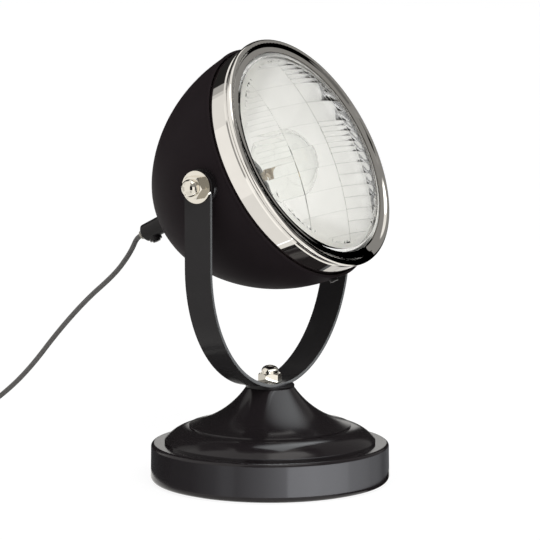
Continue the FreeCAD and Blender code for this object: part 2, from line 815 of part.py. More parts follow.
def bulb_glass():
    neck, foot_r, foot_a, centre_a, radius = globe_line(0)
    neck_i, foot_i, _, _, radius_i = globe_line(globe_wall)
    foot_inner_a = centre_a - math.sqrt(radius_i ** 2 - foot_i ** 2)
    return lathe(
        (neck, cap_top),
        ((foot_r, foot_a),),
        ((radius, centre_a), (0, centre_a + radius)),
        ((0, centre_a + radius_i),),
        ((radius_i, centre_a), (foot_i, foot_inner_a)),
        ((neck_i, cap_top),))


def bulb_filament():
    """Glass stem on the cap, two lead wires and the filament across their ends."""
    stem_top = cap_top + filament_stem_l
    coil_a = stem_top + filament_rise
    body = tube(0, filament_stem_r, cap_top, stem_top)
    for side in (-1, 1):
        foot = Vector(side * (filament_stem_r - filament_inset), 0, stem_top - filament_inset)
        end = Vector(side * (filament_l / 2 - filament_inset), 0, coil_a)
        wire = Part.makeCylinder(filament_lead_r, (end - foot).Length, foot, end - foot)
        body = body.fuse(wire)
    coil = Part.makeCylinder(filament_r, filament_l, Vector(-filament_l / 2, 0, coil_a),
                             Vector(1, 0, 0))
    return body.fuse(coil).removeSplitter()


def lens_clips():
    """Spring clips: each hugs the bezel's skirt and presses on the reflector's flange."""
    outer = bezel_band_r - bezel_wall - clip_skirt_gap
    top = flange_back_a - reflector_t
    clip_rear_a = flange_back_a - clip_l
    clip = slab((outer, clip_rear_a),
                [((outer, top),), ((outer - clip_reach, top),),
                 ((outer - clip_reach, top - clip_t),), ((outer - clip_t, top - clip_t),),
                 ((outer - clip_t, clip_rear_a),)],
                -clip_w / 2, clip_w / 2)
    turns = [clip_first_deg + 360 * i / clip_count for i in range(clip_count)]
    return group([placed(clip, Vector(), Rotation(Vector(0, 0, 1), t)) for t in turns])


# ---------------------------------------------------------------- tilt pivots
def at_pivots(shape, x=0.0):
    """A shape drawn on +Z, once at each end of the tilt axis, moved outwards by x."""
    ends = []
    for side in (-1, 1):
        turn = Rotation(Vector(0, 1, 0), 90 * side)
        ends.append(placed(shape, Vector(side * x, -head_rise, 0), turn))
    return ends


fibre_low_x = yoke_in_r - face_gap - fibre_washer_t
washer_low_x = yoke_out_r + face_gap
nut_low_x = washer_low_x + pivot_washer_t
pad_face_x = bowl_side_x(-bowl_wall) - pad_t     # inner face of the pad in the bowl


def pivot_spacers():
    blank = tube(bolt_r + fixed_gap, spacer_r, bowl_side_x(0) - spacer_sunk, fibre_low_x)
    bowl = bowl_volume(face_gap)
    return group([end.cut(bowl) for end in at_pivots(blank)])


def pivot_inner_pads():
    blank = tube(bolt_r + fixed_gap, pad_r, pad_face_x, bowl_mouth_r)
    bowl = bowl_volume(-bowl_wall - face_gap)
    return group([end.common(bowl) for end in at_pivots(blank)])


def pivot_bolts():
    head = tube(0, pivot_head_r, -pivot_head_t, 0)
    length = nut_low_x + nut_bore_l - bolt_end_gap - pad_face_x
    return group(at_pivots(bolt(length, head), pad_face_x))


# ---------------------------------------------------------------- cord grip
def on_grip(shape):
    return placed(shape, Vector(0, grip_rise, 0))


def inner_lead():
    """The cord's end, from the bush through grip and nipple to the back of the holder."""
    return on_grip(tube(0, cord_r, grip_end_a - bush_out, holder_back_a))


cord_r = cord_d / 2
grip_root_a = bowl_line(0.0)[4][1]
grip_end_a = grip_root_a - grip_l
grip_boss_a = grip_end_a + grip_boss_from_end


def cord_grip_body():
    start = grip_root_a + grip_blank_in
    body = lathe((0, grip_end_a), ((grip_r - grip_chamfer, grip_end_a),),
                 ((grip_r, grip_end_a + grip_chamfer),), ((grip_r, start),), ((0, start),))
    boss = Part.makeCylinder(grip_boss_r, grip_boss_reach, Vector(0, 0, grip_boss_a),
                             Vector(0, -1, 0))
    body = body.fuse(boss).removeSplitter()
    body = body.cut(tube(0, nipple_r + thread_gap, grip_root_a - nipple_in_grip, start + past))
    body = body.cut(tube(0, cord_r + cord_gap, grip_end_a - past, start))
    body = body.cut(tube(0, bush_r + thread_gap, grip_end_a - past, grip_end_a + bush_in))
    screw_hole = Part.makeCylinder(grip_screw_r + thread_gap, grip_boss_reach + past,
                                   Vector(0, 0, grip_boss_a), Vector(0, -1, 0))
    return on_grip(body.cut(screw_hole)).cut(bowl_volume(face_gap))


def cord_grip_screw():
    """Clamp screw in the side boss, with its tip on the cord."""
    tip = cord_r + grip_screw_gap
    shank = tube(0, grip_screw_r, tip, grip_boss_reach)
    head = tube(0, grip_screw_head_r, grip_boss_reach, grip_boss_reach + grip_screw_head_h)
    screw = shank.fuse(head).removeSplitter()
    screw = screw.cut(slot_cut(grip_screw_head_r, grip_boss_reach + grip_screw_head_h))
    screw = placed(screw, Vector(0, 0, grip_boss_a), Rotation(Vector(1, 0, 0), 90))
    return placed(screw, screw.Placement.Base + Vector(0, grip_rise, 0), screw.Placement.Rotation)


def cord_grip_bush():
    return on_grip(lathe(
        (cord_r + cord_gap, grip_end_a - bush_out),
        ((bush_r - bush_bevel, grip_end_a - bush_out),),
        ((bush_r, grip_end_a - bush_out + bush_bevel),),
        ((bush_r, grip_end_a + bush_in),),
        ((cord_r + cord_gap, grip_end_a + bush_in),)))


def grip_nipple():
    return on_grip(tube(nipple_bore_r, nipple_r, grip_root_a - nipple_in_grip + nipple_end_gap,
                        grip_root_a + bowl_wall + nipple_in_bowl))


def nipple_locknut():
    """Flat nut whose farthest corner stands on the round inside of the bowl."""
    reach = grip_rise + locknut_af / math.sqrt(3)
    low = grip_root_a + bowl_wall + sagitta(nose_radius(-bowl_wall), reach) + face_gap
    bore = tube(0, nipple_r + thread_gap, low - past, low + locknut_t + past)
    return on_grip(hexagon(locknut_af, locknut_t, low).cut(bore))


# ---------------------------------------------------------------- cord
def route(points, name):
    """Straight runs joined by tangent arcs, swept as a round cord. Prints its radii."""
    mid_share, end_share = 0.45, 0.9     # of a run, that one arc may take
    edges, radii, length = [], [], 0.0
    here = points[0]
    for before, corner, after in zip(points, points[1:], points[2:]):
        run_in, run_out = corner - before, after - corner
        half_turn = run_in.getAngle(run_out) / 2
        share_in = end_share if before is points[0] else mid_share
        share_out = end_share if after is points[-1] else mid_share
        back = min(share_in * run_in.Length, share_out * run_out.Length)
        radius = back / math.tan(half_turn)
        unit_in, unit_out = Vector(run_in).normalize(), Vector(run_out).normalize()
        start, end = corner - unit_in * back, corner + unit_out * back
        inward = (unit_out - unit_in).normalize()
        reach = radius / math.cos(half_turn) - radius
        edges.append(Part.LineSegment(here, start).toShape())
        edges.append(Part.Arc(start, corner + inward * reach, end).toShape())
        length += here.distanceToPoint(start) + 2 * half_turn * radius
        radii.append(round(radius, 1))
        here = end
    edges.append(Part.LineSegment(here, points[-1]).toShape())
    length += here.distanceToPoint(points[-1])
    path = Part.Wire(edges)
    heading = (points[1] - points[0]).normalize()
    section = Part.Wire(Part.Circle(points[0], heading, cord_r).toShape())
    solid = path.makePipeShell([section], True, False, 2)
    expected = math.pi * cord_r ** 2 * length
    print(name, "length", round(length, 1), "radii", radii, "volume ratio",
          round(solid.Volume / expected, 4))
    return solid, length


def head_point(x, y, a):
    """A point of the head's own frame in the lamp's frame."""
    turn = Rotation(Vector(1, 0, 0), 90 - tilt_deg)
    return turn.multVec(Vector(x, y + head_rise, a)) + Vector(0, 0, pivot_z)


cord_start_a = grip_end_a - bush_out - face_gap
cord_exit = head_point(0, grip_rise, cord_start_a)
cord_out = head_point(0, grip_rise, cord_start_a - cord_straight)
cord_lie = cord_r        # height of a cord's centre where it lies on the table
switch_cord_z = 5.0
plug_cord_z = plug_h / 2

coil_half_w = coil_columns * cord_d / 2
coil_out_r = coil_mid_r + coil_half_w
coil_in_r = coil_mid_r - coil_half_w
coil_top = coil_lift + coil_layers * cord_d
beside_coil = coil_out_r + cord_r + face_gap
coil_cord_z = coil_lift + cord_r
switch_in = switch_at + Vector(0, switch_l / 2, switch_cord_z)
switch_out = switch_at + Vector(0, -switch_l / 2, switch_cord_z)

# from the cord grip down to the table, then round into the switch
lead_route = [
    cord_exit,
    cord_out,
    cord_exit + Vector(0, 7.0, -9.1),
    cord_exit + Vector(0, 12.2, -16.5),
    cord_exit + Vector(0, 19.2, -24.8),
    cord_exit + Vector(0, 28.6, -33.2),
    cord_exit + Vector(0, 41.5, -43.5),
    Vector(0, 157.0, 96.5),
    Vector(-0.5, 172.5, 80.0),
    Vector(-2.5, 187.0, 62.0),
    Vector(-6.5, 201.5, 46.0),
    Vector(-13.5, 218.5, 31.0),
    Vector(-24.5, 238.0, 18.5),
    Vector(-39.0, 258.0, 9.5),
    Vector(-56.0, 275.5, 4.0),
    Vector(-71.5, 290.0, cord_lie),
    Vector(-85.3, 289.8, 2.1),
    Vector(-89.5, 288.3, 2.7),
    Vector(-93.0, 285.4, 3.4),
    Vector(-95.2, 281.5, 4.2),
    Vector(-96.0, 277.0, switch_cord_z),
    switch_in,
]
# from the switch round to the foot of the coil
link_route = [
    switch_out,
    switch_out + Vector(0, -7.0, 0),
    switch_out + Vector(4.0, -13.5, -1.6),
    switch_out + Vector(12.0, -17.3, -2.4),
    coil_centre + Vector(-13.0, -beside_coil - 0.5, coil_cord_z),
    coil_centre + Vector(0, -beside_coil, coil_cord_z),
]
# from the side of the coil to the plug
plug_turn = Rotation(Vector(0, 0, 1), plug_turn_deg)
plug_tip = plug_at + plug_turn.multVec(Vector(-relief_l, 0, plug_cord_z))
tail_route = [
    coil_centre + Vector(beside_coil, 0, coil_cord_z),
    coil_centre + Vector(beside_coil + 0.2, 9.5, coil_cord_z),
    coil_centre + Vector(beside_coil + 4.6, 20.5, 2.6),
    coil_centre + Vector(beside_coil + 12.6, 28.8, 4.0),
    plug_tip - plug_turn.multVec(Vector(8.5, 0, 0)),
    plug_tip,
]


def cord_coil():
    ring = tube(coil_in_r, coil_out_r, coil_lift, coil_top)
    return placed(ring, coil_centre)


def cord_tie():
    """Band round the coil's section, following the coil's curve."""
    over = tie_gap + tie_t
    outer = tube(coil_in_r - over, coil_out_r + over, coil_lift - over, coil_top + over)
    inner = tube(coil_in_r - tie_gap, coil_out_r + tie_gap, coil_lift - tie_gap,
                 coil_top + tie_gap)
    sector = Part.makeBox(2 * coil_out_r, tie_w, 2 * coil_top, Vector(0, -tie_w / 2, 0))
    band = outer.cut(inner).common(sector)
    return placed(band, coil_centre, Rotation(Vector(0, 0, 1), tie_at_deg))


# ---------------------------------------------------------------- in-line switch
def on_switch(shape):
    """From the switch's own frame (length along X) to its place on the table."""
    moved = shape.copy()
    moved.Placement = Placement(switch_at, Rotation(Vector(0, 0, 1), 90)).multiply(shape.Placement)
    return moved


rocker_axis_z = switch_h - rocker_axis_drop


def switch_blank(low, high, inset=0.0):
    return rounded_box(switch_l - 2 * inset, switch_w - 2 * inset, low, high,
                       switch_corner_r - inset)


def switch_hollow():
    """Room for the contacts and for the rocker, and the two cord entries."""
    room = switch_blank(switch_wall, switch_h - switch_wall, switch_wall)
    entry = Part.makeCylinder(cord_r + cord_gap, switch_l + 2 * past,
                              Vector(-switch_l / 2 - past, 0, switch_cord_z), Vector(1, 0, 0))
    return room.fuse(entry)


def screw_spots(z):
    """The two screws stand at opposite corners."""
    x, y = switch_l / 2 - switch_screw_inset, switch_w / 2 - switch_screw_side
    return [Vector(side * x, side * y, z) for side in (-1, 1)]


def switch_posts(low, high):
    """Screw posts from floor to roof of the switch."""
    return [Part.makeCylinder(switch_post_r, high - low, at) for at in screw_spots(low)]


def drill(shape, radius, low, high):
    for at in screw_spots(low):
        shape = shape.cut(Part.makeCylinder(radius, high - low, at))
    return shape


def switch_lower():
    body = switch_blank(0, switch_split_z).cut(switch_hollow())
    for post in switch_posts(switch_wall, switch_split_z):
        body = body.fuse(post)
    body = drill(body, switch_screw_r + thread_gap, -past, switch_split_z + past)
    return on_switch(drill(body, switch_screw_head_r + fixed_gap, -past, switch_wall))


def centred_box(length, width, low, high):
    """Box round Z with sharp edges."""
    return Part.makeBox(length, width, high - low, Vector(-length / 2, -width / 2, low))


def rocker_bearing():
    """Block under the switch's roof, open in the middle, that carries the rocker's pins."""
    gap_w = rocker_w + 2 * rocker_gap
    block = centred_box(bearing_w, gap_w + 2 * (rocker_pin_l + bearing_wall),
                        rocker_axis_z - bearing_under, switch_h - switch_wall)
    swing = centred_box(2 * (rocker_half + rocker_end_gap), gap_w,
                        rocker_axis_z - rocker_room, rocker_axis_z + rocker_room)
    return block.cut(swing)


def switch_upper():
    body = switch_blank(switch_split_z, switch_h)
    rim = [e for e in body.Edges if e.BoundBox.ZMin > switch_h - switch_round / 2]
    body = body.makeFillet(switch_round, rim).cut(switch_hollow())
    for post in switch_posts(switch_split_z, switch_h - switch_wall):
        body = body.fuse(post)
    window = centred_box(2 * (rocker_half + rocker_gap * 2), rocker_w + 2 * rocker_gap,
                         switch_h - switch_wall - past, switch_h + past)
    body = body.cut(window).fuse(rocker_bearing())
    hole_half = rocker_w / 2 + rocker_pin_l + pin_end_gap
    pin_hole = Part.makeCylinder(rocker_pin_r + running_gap, 2 * hole_half,
                                 Vector(0, -hole_half, rocker_axis_z), Vector(0, 1, 0))
    body = body.cut(pin_hole)
    return on_switch(drill(body, switch_screw_r + thread_gap, 0, switch_h - switch_wall))


def switch_rocker():
    half, low = rocker_half, -rocker_under
    body = slab((-half, low), [((half, low),), ((half, rocker_crest),),
                               ((0, rocker_valley), (-half, rocker_crest))],
                -rocker_w / 2, rocker_w / 2)
    pin = Part.makeCylinder(rocker_pin_r, rocker_w + 2 * rocker_pin_l,
                            Vector(0, -rocker_w / 2 - rocker_pin_l, 0), Vector(0, 1, 0))
    body = body.fuse(pin)
    return on_switch(placed(body, Vector(0, 0, rocker_axis_z),
                            Rotation(Vector(0, 1, 0), rocker_rest_deg)))


def switch_screws():
    head = tube(0, switch_screw_head_r, switch_screw_recess, switch_wall)
    shank = tube(0, switch_screw_r, switch_wall, switch_h - switch_wall - switch_screw_end_gap)
    screw = head.fuse(shank).removeSplitter()
    return group([on_switch(placed(screw, at)) for at in screw_spots(0)])


# ---------------------------------------------------------------- plug
def on_plug(shape):
    """From the plug's own frame (pins point along X) to its place on the table."""
    moved = shape.copy()
    turn = Rotation(Vector(0, 0, 1), plug_turn_deg)
    moved.Placement = Placement(plug_at, turn).multiply(shape.Placement)
    return moved


def plug_corner(side):
    """What the taper takes off the plug's body, on one side of its rear half."""
    y = side * plug_w / 2
    inner_y = side * (relief_r + plug_shoulder)
    outline = [Vector(-past, inner_y, -past), Vector(0, inner_y, -past),
               Vector(plug_taper_l, y, -past), Vector(plug_taper_l, y + side * past, -past),
               Vector(-past, y + side * past, -past), Vector(-past, inner_y, -past)]
    return Part.Face(Part.makePolygon(outline)).extrude(Vector(0, 0, plug_h + 2 * past))


def strain_relief():
    """Cone with ring-shaped grooves, from the plug's rear face back along the cord."""
    along = Vector(1, 0, 0)
    cone = Part.makeCone(relief_tip_r, relief_r, relief_l, Vector(-relief_l, 0, plug_cord_z), along)
    for i in range(relief_grooves):
        from_tip = relief_groove_from + relief_groove_pitch * i
        at = Vector(from_tip - relief_l, 0, plug_cord_z)
        core_r = relief_tip_r + (relief_r - relief_tip_r) * from_tip / relief_l - relief_groove_d
        groove = Part.makeCylinder(relief_r + past, relief_groove_w, at, along)
        cone = cone.cut(groove.cut(Part.makeCylinder(core_r, relief_groove_w, at, along)))
    return cone


def pin_places():
    return [Vector(plug_l - pin_in_plug, side * pin_pitch / 2, plug_cord_z) for side in (-1, 1)]


def plug_body():
    body = Part.makeBox(plug_l, plug_w, plug_h, Vector(0, -plug_w / 2, 0))
    long_edges = [e for e in body.Edges if abs(e.tangentAt(e.FirstParameter).x) > 0.9]
    body = body.makeFillet(plug_round, long_edges)
    for side in (-1, 1):
        body = body.cut(plug_corner(side))
    body = body.fuse(strain_relief())
    for at in pin_places():
        body = body.cut(Part.makeCylinder(pin_r + thread_gap, pin_in_plug + past, at,
                                          Vector(1, 0, 0)))
    return on_plug(body)


def plug_pins():
    pins = []
    for at in pin_places():
        pin = Part.makeCylinder(pin_r, pin_l + pin_in_plug, at, Vector(1, 0, 0))
        tip = [e for e in pin.Edges if e.BoundBox.XMin > plug_l]
        pins.append(on_plug(pin.makeFillet(pin_tip_round, tip)))
    return group(pins)


# ---------------------------------------------------------------- build
def main():
    save("base_shell", base_shell())
    save("base_pad", base_pad())
    save("base_plate", base_plate())
    save("base_weight", base_weight())
    save("plate_screws", plate_screws())
    save("distance_tube", distance_tube())
    save("centre_bolt", centre_bolt())
    save("base_dome_nut", placed(dome_nut(), Vector(0, 0, nut_seat_z),
                                 Rotation(Vector(0, 0, 1), base_nut_turn_deg)))
    save("swivel_washer", tube(bolt_r + fixed_gap, neck_r - swivel_washer_inset,
                               neck_z, saddle_low))

    save("yoke_saddle", yoke_saddle())
    save("yoke_strap", yoke_strap())

    save("bowl_shell", tilted(bowl_shell()))
    save("bezel_ring", tilted(bezel_ring()))
    save("bezel_screw", tilted(bezel_screw()))
    save("lens", tilted(lens()))
    save("lens_gasket", tilted(lens_gasket()))
    save("reflector", tilted(reflector()))
    save("lens_clips", tilted(lens_clips()))
    save("lampholder", tilted(lampholder()))
    save("holder_ring", tilted(holder_ring()))
    save("bulb_cap", tilted(bulb_cap()))
    save("bulb_glass", tilted(bulb_glass()))
    save("bulb_filament", tilted(bulb_filament()))

    washer = tube(bolt_r + fixed_gap, pivot_washer_r, 0, pivot_washer_t)
    fibre = tube(bolt_r + fixed_gap, fibre_washer_r, 0, fibre_washer_t)
    save("pivot_spacers", tilted(pivot_spacers()))
    save("pivot_inner_pads", tilted(pivot_inner_pads()))
    save("pivot_fibre_washers", tilted(group(at_pivots(fibre, fibre_low_x))))
    save("pivot_washers", tilted(group(at_pivots(washer, washer_low_x))))
    save("pivot_dome_nuts", tilted(group(at_pivots(dome_nut(), nut_low_x))))
    save("pivot_bolts", tilted(pivot_bolts()))

    save("cord_grip_body", tilted(cord_grip_body()))
    save("cord_grip_screw", tilted(cord_grip_screw()))
    save("cord_grip_bush", tilted(cord_grip_bush()))
    save("grip_nipple", tilted(grip_nipple()))
    save("nipple_locknut", tilted(nipple_locknut()))
    save("inner_lead", tilted(inner_lead()))

    lead, lead_l = route(lead_route, "cord_lead")
    link, link_l = route(link_route, "cord_link")
    tail, tail_l = route(tail_route, "cord_tail")
    coil_l = coil_turns * 2 * math.pi * coil_mid_r
    print("coil length", round(coil_l, 1), "whole cord",
          round(lead_l + switch_l + link_l + coil_l + tail_l, 1))
    save("cord_lead", lead)
    save("cord_link", link)
    save("cord_coil", cord_coil())
    save("cord_tie", cord_tie())
    save("cord_tail", tail)
    save("switch_lower", switch_lower())
    save("switch_upper", switch_upper())
    save("switch_rocker", switch_rocker())
    save("switch_screws", switch_screws())
    save("plug_body", plug_body())
    save("plug_pins", plug_pins())


main()
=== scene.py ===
import json
import math

import bpy
from mathutils import Matrix, Vector, noise
from mathutils.geometry import delaunay_2d_cdt


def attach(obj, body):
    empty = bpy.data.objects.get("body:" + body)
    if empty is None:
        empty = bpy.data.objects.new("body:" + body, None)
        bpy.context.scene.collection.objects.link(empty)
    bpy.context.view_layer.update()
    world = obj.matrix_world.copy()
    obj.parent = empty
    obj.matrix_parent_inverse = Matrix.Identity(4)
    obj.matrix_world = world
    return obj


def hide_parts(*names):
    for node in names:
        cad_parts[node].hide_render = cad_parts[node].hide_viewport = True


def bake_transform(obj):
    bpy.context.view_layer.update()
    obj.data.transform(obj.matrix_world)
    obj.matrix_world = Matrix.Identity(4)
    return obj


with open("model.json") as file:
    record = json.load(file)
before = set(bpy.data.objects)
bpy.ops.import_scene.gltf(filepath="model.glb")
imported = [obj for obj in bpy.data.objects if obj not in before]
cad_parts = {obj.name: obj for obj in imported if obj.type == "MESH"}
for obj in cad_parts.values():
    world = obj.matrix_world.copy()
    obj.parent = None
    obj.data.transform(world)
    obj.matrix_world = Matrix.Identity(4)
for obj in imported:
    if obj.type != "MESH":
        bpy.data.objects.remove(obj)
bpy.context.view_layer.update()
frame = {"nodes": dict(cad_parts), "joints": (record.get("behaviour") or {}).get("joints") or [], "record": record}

# Lengths are in millimetres, unless a comment says metres.
nodes = frame["nodes"]
joints = {joint["name"]: joint for joint in frame["joints"]}
MM = 0.001               # metres

# ---------------------------------------------------------------- sizes
# The head's own frame: X is the tilt axis, Y is the head's up, Z runs forward.
# Names that end in _a are places along that Z.
pivot_z = joints["head_tilt"]["pos_m"][2] / MM
tilt_deg = 27.0
head_rise = 1.2          # from the tilt axis up to the head's middle

lens_r = 69.4            # the visible dome
lens_sag = 15.5
lens_edge_a = 34.7
lens_t = 3.5
lens_flange_r = 72.9
flange_front_a = 32.8
flange_back_a = 29.8
flange_bevel = 0.3
lens_bore_r = 66.0       # inner edge of the flange
lens_sphere = (lens_r ** 2 + lens_sag ** 2) / (2 * lens_sag)
lens_centre_a = lens_edge_a + lens_sag - lens_sphere
lens_sides = 160
dome_steps = 40
rim_slack = 0.01         # points this near lens_bore_r belong to the net's rim
merge_within = 1e-5      # points of the net closer than this become one

# pressed pattern on the inside of the lens: columns as (left, right, runs of ribs), the
# runs from the top down, as (upper end, pitch)
columns = [
    (-72.0, -37.0, [(72.0, 14.4), (43.2, 3.6), (-7.2, 7.2), (-14.4, 14.4)]),
    (-37.0, 0.0, [(72.0, 14.4)]),
    (0.0, 37.0, [(72.0, 3.6), (43.2, 14.4), (14.4, 3.6), (-7.2, 7.2)]),
    (37.0, 72.0, [(72.0, 7.2)]),
]
pattern_low = -72.0      # lower end of every column's last run
rib_depths = {3.6: 0.11, 7.2: 0.17, 14.4: 0.26}      # by pitch
groove_half = 0.3        # half of a groove's width, and of the painted shade on either side of it
painted_shade_left = 0.45       # the painted shade in the grooves left of the middle is fainter
column_tilt = 0.012      # slope of a column's prism, towards +X
column_samples = 12      # across a column
rib_sample = 1.4         # about as far apart down a column
relief_r = 63.0          # the pattern ends at this radius
relief_fade = 1.0
relief_margin = 0.4      # from the last sample to that radius
stipple_x = 55.0         # crinkled edge of the glass, from here towards +X
stipple_fade = 12.0      # the ribs die out towards it
stipple_r = 66.0
stipple_step = 0.8
stipple_margin = 0.3     # from the last sample to the flange
stipple_depth = 0.10
stipple_painted_shade = 0.5       # how dark its spots of painted shade are
stipple_shade_z = 9.0     # other noise than the height's, for those spots
stipple_shade_scale = 1.3

cord_d = 3.4
cord_r = cord_d / 2
cord_sides = 16


def head_matrix():
    """From the head's own frame to the lamp's, still in millimetres."""
    turn = Matrix.Rotation(math.radians(90 - tilt_deg), 4, "X")
    return Matrix.Translation((0, 0, pivot_z)) @ turn @ Matrix.Translation((0, head_rise, 0))


# ---------------------------------------------------------------- mesh helpers
def new_object(name, mesh, mat, body, matrix=Matrix(), smooth_deg=35):
    """Object from a mesh in millimetres, put in the lamp's frame in metres."""
    mesh.transform(Matrix.Scale(MM, 4) @ matrix)
    mesh.materials.append(mat)
    mesh.shade_smooth()
    mesh.set_sharp_from_angle(angle=math.radians(smooth_deg))
    obj = bpy.data.objects.new(name, mesh)
    bpy.context.scene.collection.objects.link(obj)
    if body:
        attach(obj, body)
    return obj


def mesh_from(name, verts, faces):
    mesh = bpy.data.meshes.new(name)
    mesh.from_pydata(verts, [], faces)
    mesh.validate()
    mesh.update()
    return mesh


def circle(radius, sides):
    turns = [math.tau * i / sides for i in range(sides)]
    return [(radius * math.cos(t), radius * math.sin(t)) for t in turns]


# ---------------------------------------------------------------- shader helpers
def material(name):
    mat = bpy.data.materials.new(name)
    mat.use_nodes = True
    return mat, mat.node_tree, mat.node_tree.nodes["Principled BSDF"]


def add(tree, kind, **values):
    node = tree.nodes.new(kind)
    for key, value in values.items():
        setattr(node, key, value)
    return node


def set_values(shader, **values):
    for key, value in values.items():
        shader.inputs[key.replace("_", " ")].default_value = value


def arithmetic(tree, operation, *values, clamp=False):
    """Math node on sockets and floats."""
    node = add(tree, "ShaderNodeMath", operation=operation, use_clamp=clamp)
    for value, socket in zip(values, node.inputs):
        if isinstance(value, float):
            socket.default_value = value
        else:
            tree.links.new(value, socket)
    return node.outputs[0]


def product(tree, values):
    result = values[0]
    for value in values[1:]:
        result = arithmetic(tree, "MULTIPLY", result, value)
    return result


def noise_texture(tree, scale, detail=4.0):
    """Noise over the object's own coordinates, the scale per metre."""
    where = add(tree, "ShaderNodeTexCoord")
    tex = add(tree, "ShaderNodeTexNoise")
    tex.inputs["Scale"].default_value = scale
    tex.inputs["Detail"].default_value = detail
    tree.links.new(where.outputs["Object"], tex.inputs["Vector"])
    return tex.outputs["Fac"]


def ramp(tree, factor, stops):
    node = add(tree, "ShaderNodeValToRGB")
    for extra in stops[2:]:
        node.color_ramp.elements.new(extra[0])
    for element, (place, color) in zip(node.color_ramp.elements, stops):
        element.position = place
        element.color = (*color, 1)
    tree.links.new(factor, node.inputs["Fac"])
    return node.outputs["Color"]


def spread(tree, factor, low, high):
    """Values from 0 to 1 brought to a range from low to high."""
    node = add(tree, "ShaderNodeMapRange")
    node.inputs["To Min"].default_value = low
    node.inputs["To Max"].default_value = high
    tree.links.new(factor, node.inputs["Value"])
    return node.outputs["Result"]


def step_mask(tree, value, start, end):
    """Smooth step from 0 at start to 1 at end, whichever is greater."""
    node = add(tree, "ShaderNodeMapRange", interpolation_type="SMOOTHSTEP")
    node.inputs["From Min"].default_value = start
    node.inputs["From Max"].default_value = end
    tree.links.new(value, node.inputs["Value"])
    return node.outputs["Result"]


def mottle(tree, shader, shade, darker, scale, edge):
    """Base colour that drifts between the shade and a darker one."""
    dark = tuple(c * darker for c in shade)
    color = ramp(tree, noise_texture(tree, scale), [(edge, dark), (1 - edge, shade)])
    tree.links.new(color, shader.inputs["Base Color"])


def uneven(tree, shader, low, high, scale):
    """Roughness that drifts between two values."""
    rough = spread(tree, noise_texture(tree, scale), low, high)
    tree.links.new(rough, shader.inputs["Roughness"])


def bump(tree, shader, height, strength, distance=0.0001):
    """Bump, its distance in metres."""
    node = add(tree, "ShaderNodeBump")
    node.inputs["Strength"].default_value = strength
    node.inputs["Distance"].default_value = distance
    tree.links.new(height, node.inputs["Height"])
    tree.links.new(node.outputs["Normal"], shader.inputs["Normal"])


# ---------------------------------------------------------------- materials
def enamel(name, shade, roughness, level):
    """Black paint with a faint orange peel."""
    mat, tree, shader = material(name)
    mottle(tree, shader, shade, darker=0.92, scale=60.0, edge=0.3)
    uneven(tree, shader, roughness - 0.02, roughness + 0.02, scale=25.0)
    set_values(shader, Specular_IOR_Level=level)
    bump(tree, shader, noise_texture(tree, 900.0, detail=2.0), strength=0.04)
    return mat


def metal(name, shade, roughness, grain=300.0, depth=0.02):
    mat, tree, shader = material(name)
    mottle(tree, shader, shade, darker=0.97, scale=90.0, edge=0.35)
    set_values(shader, Metallic=1.0)
    uneven(tree, shader, roughness * 0.8, roughness * 1.2, scale=140.0)
    bump(tree, shader, noise_texture(tree, grain), depth)
    return mat


def plastic(name, shade, roughness, grain=1500.0, depth=0.1):
    mat, tree, shader = material(name)
    mottle(tree, shader, shade, darker=0.85, scale=120.0, edge=0.3)
    uneven(tree, shader, roughness - 0.04, roughness + 0.04, scale=200.0)
    bump(tree, shader, noise_texture(tree, grain), depth)
    return mat


def glass(name, shade, roughness):
    mat, tree, shader = material(name)
    set_values(shader, Base_Color=(*shade, 1), Transmission_Weight=1.0, IOR=1.5,
               Roughness=roughness)
    bump(tree, shader, noise_texture(tree, 60.0), strength=0.003)
    return mat


def pressed(name, shade, painted_groove_color):
    """Pressed glass, darker in the grooves and spots that the mesh marks: painted shade."""
    mat = glass(name, shade, roughness=0.01)
    tree = mat.node_tree
    painted_shade = add(tree, "ShaderNodeAttribute", attribute_name="painted_glass_shade")
    color = ramp(tree, painted_shade.outputs["Fac"], [(0.0, shade), (1.0, painted_groove_color)])
    tree.links.new(color, tree.nodes["Principled BSDF"].inputs["Base Color"])
    return mat


braid_scale = 1.6        # a strand about every 0.4 mm along the cord
braid_stops = [(0.25, (0.035, 0.034, 0.032)), (0.9, (0.22, 0.21, 0.20))]


def braid(name):
    """Two-tone textile braid: strands cross along the cord's UV map."""
    mat, tree, shader = material(name)
    where = add(tree, "ShaderNodeTexCoord")
    strands = []
    for lean in (-1, 1):
        wave = add(tree, "ShaderNodeTexWave", bands_direction="DIAGONAL")
        wave.inputs["Scale"].default_value = 1.0
        mapping = add(tree, "ShaderNodeMapping")
        mapping.inputs["Scale"].default_value = (lean * braid_scale, braid_scale, 0)
        tree.links.new(where.outputs["UV"], mapping.inputs["Vector"])
        tree.links.new(mapping.outputs["Vector"], wave.inputs["Vector"])
        strands.append(wave.outputs["Fac"])
    height = arithmetic(tree, "MAXIMUM", *strands)
    tree.links.new(ramp(tree, height, braid_stops), shader.inputs["Base Color"])
    set_values(shader, Roughness=0.8, Sheen_Weight=0.3)
    bump(tree, shader, height, strength=0.6, distance=0.0004)
    return mat


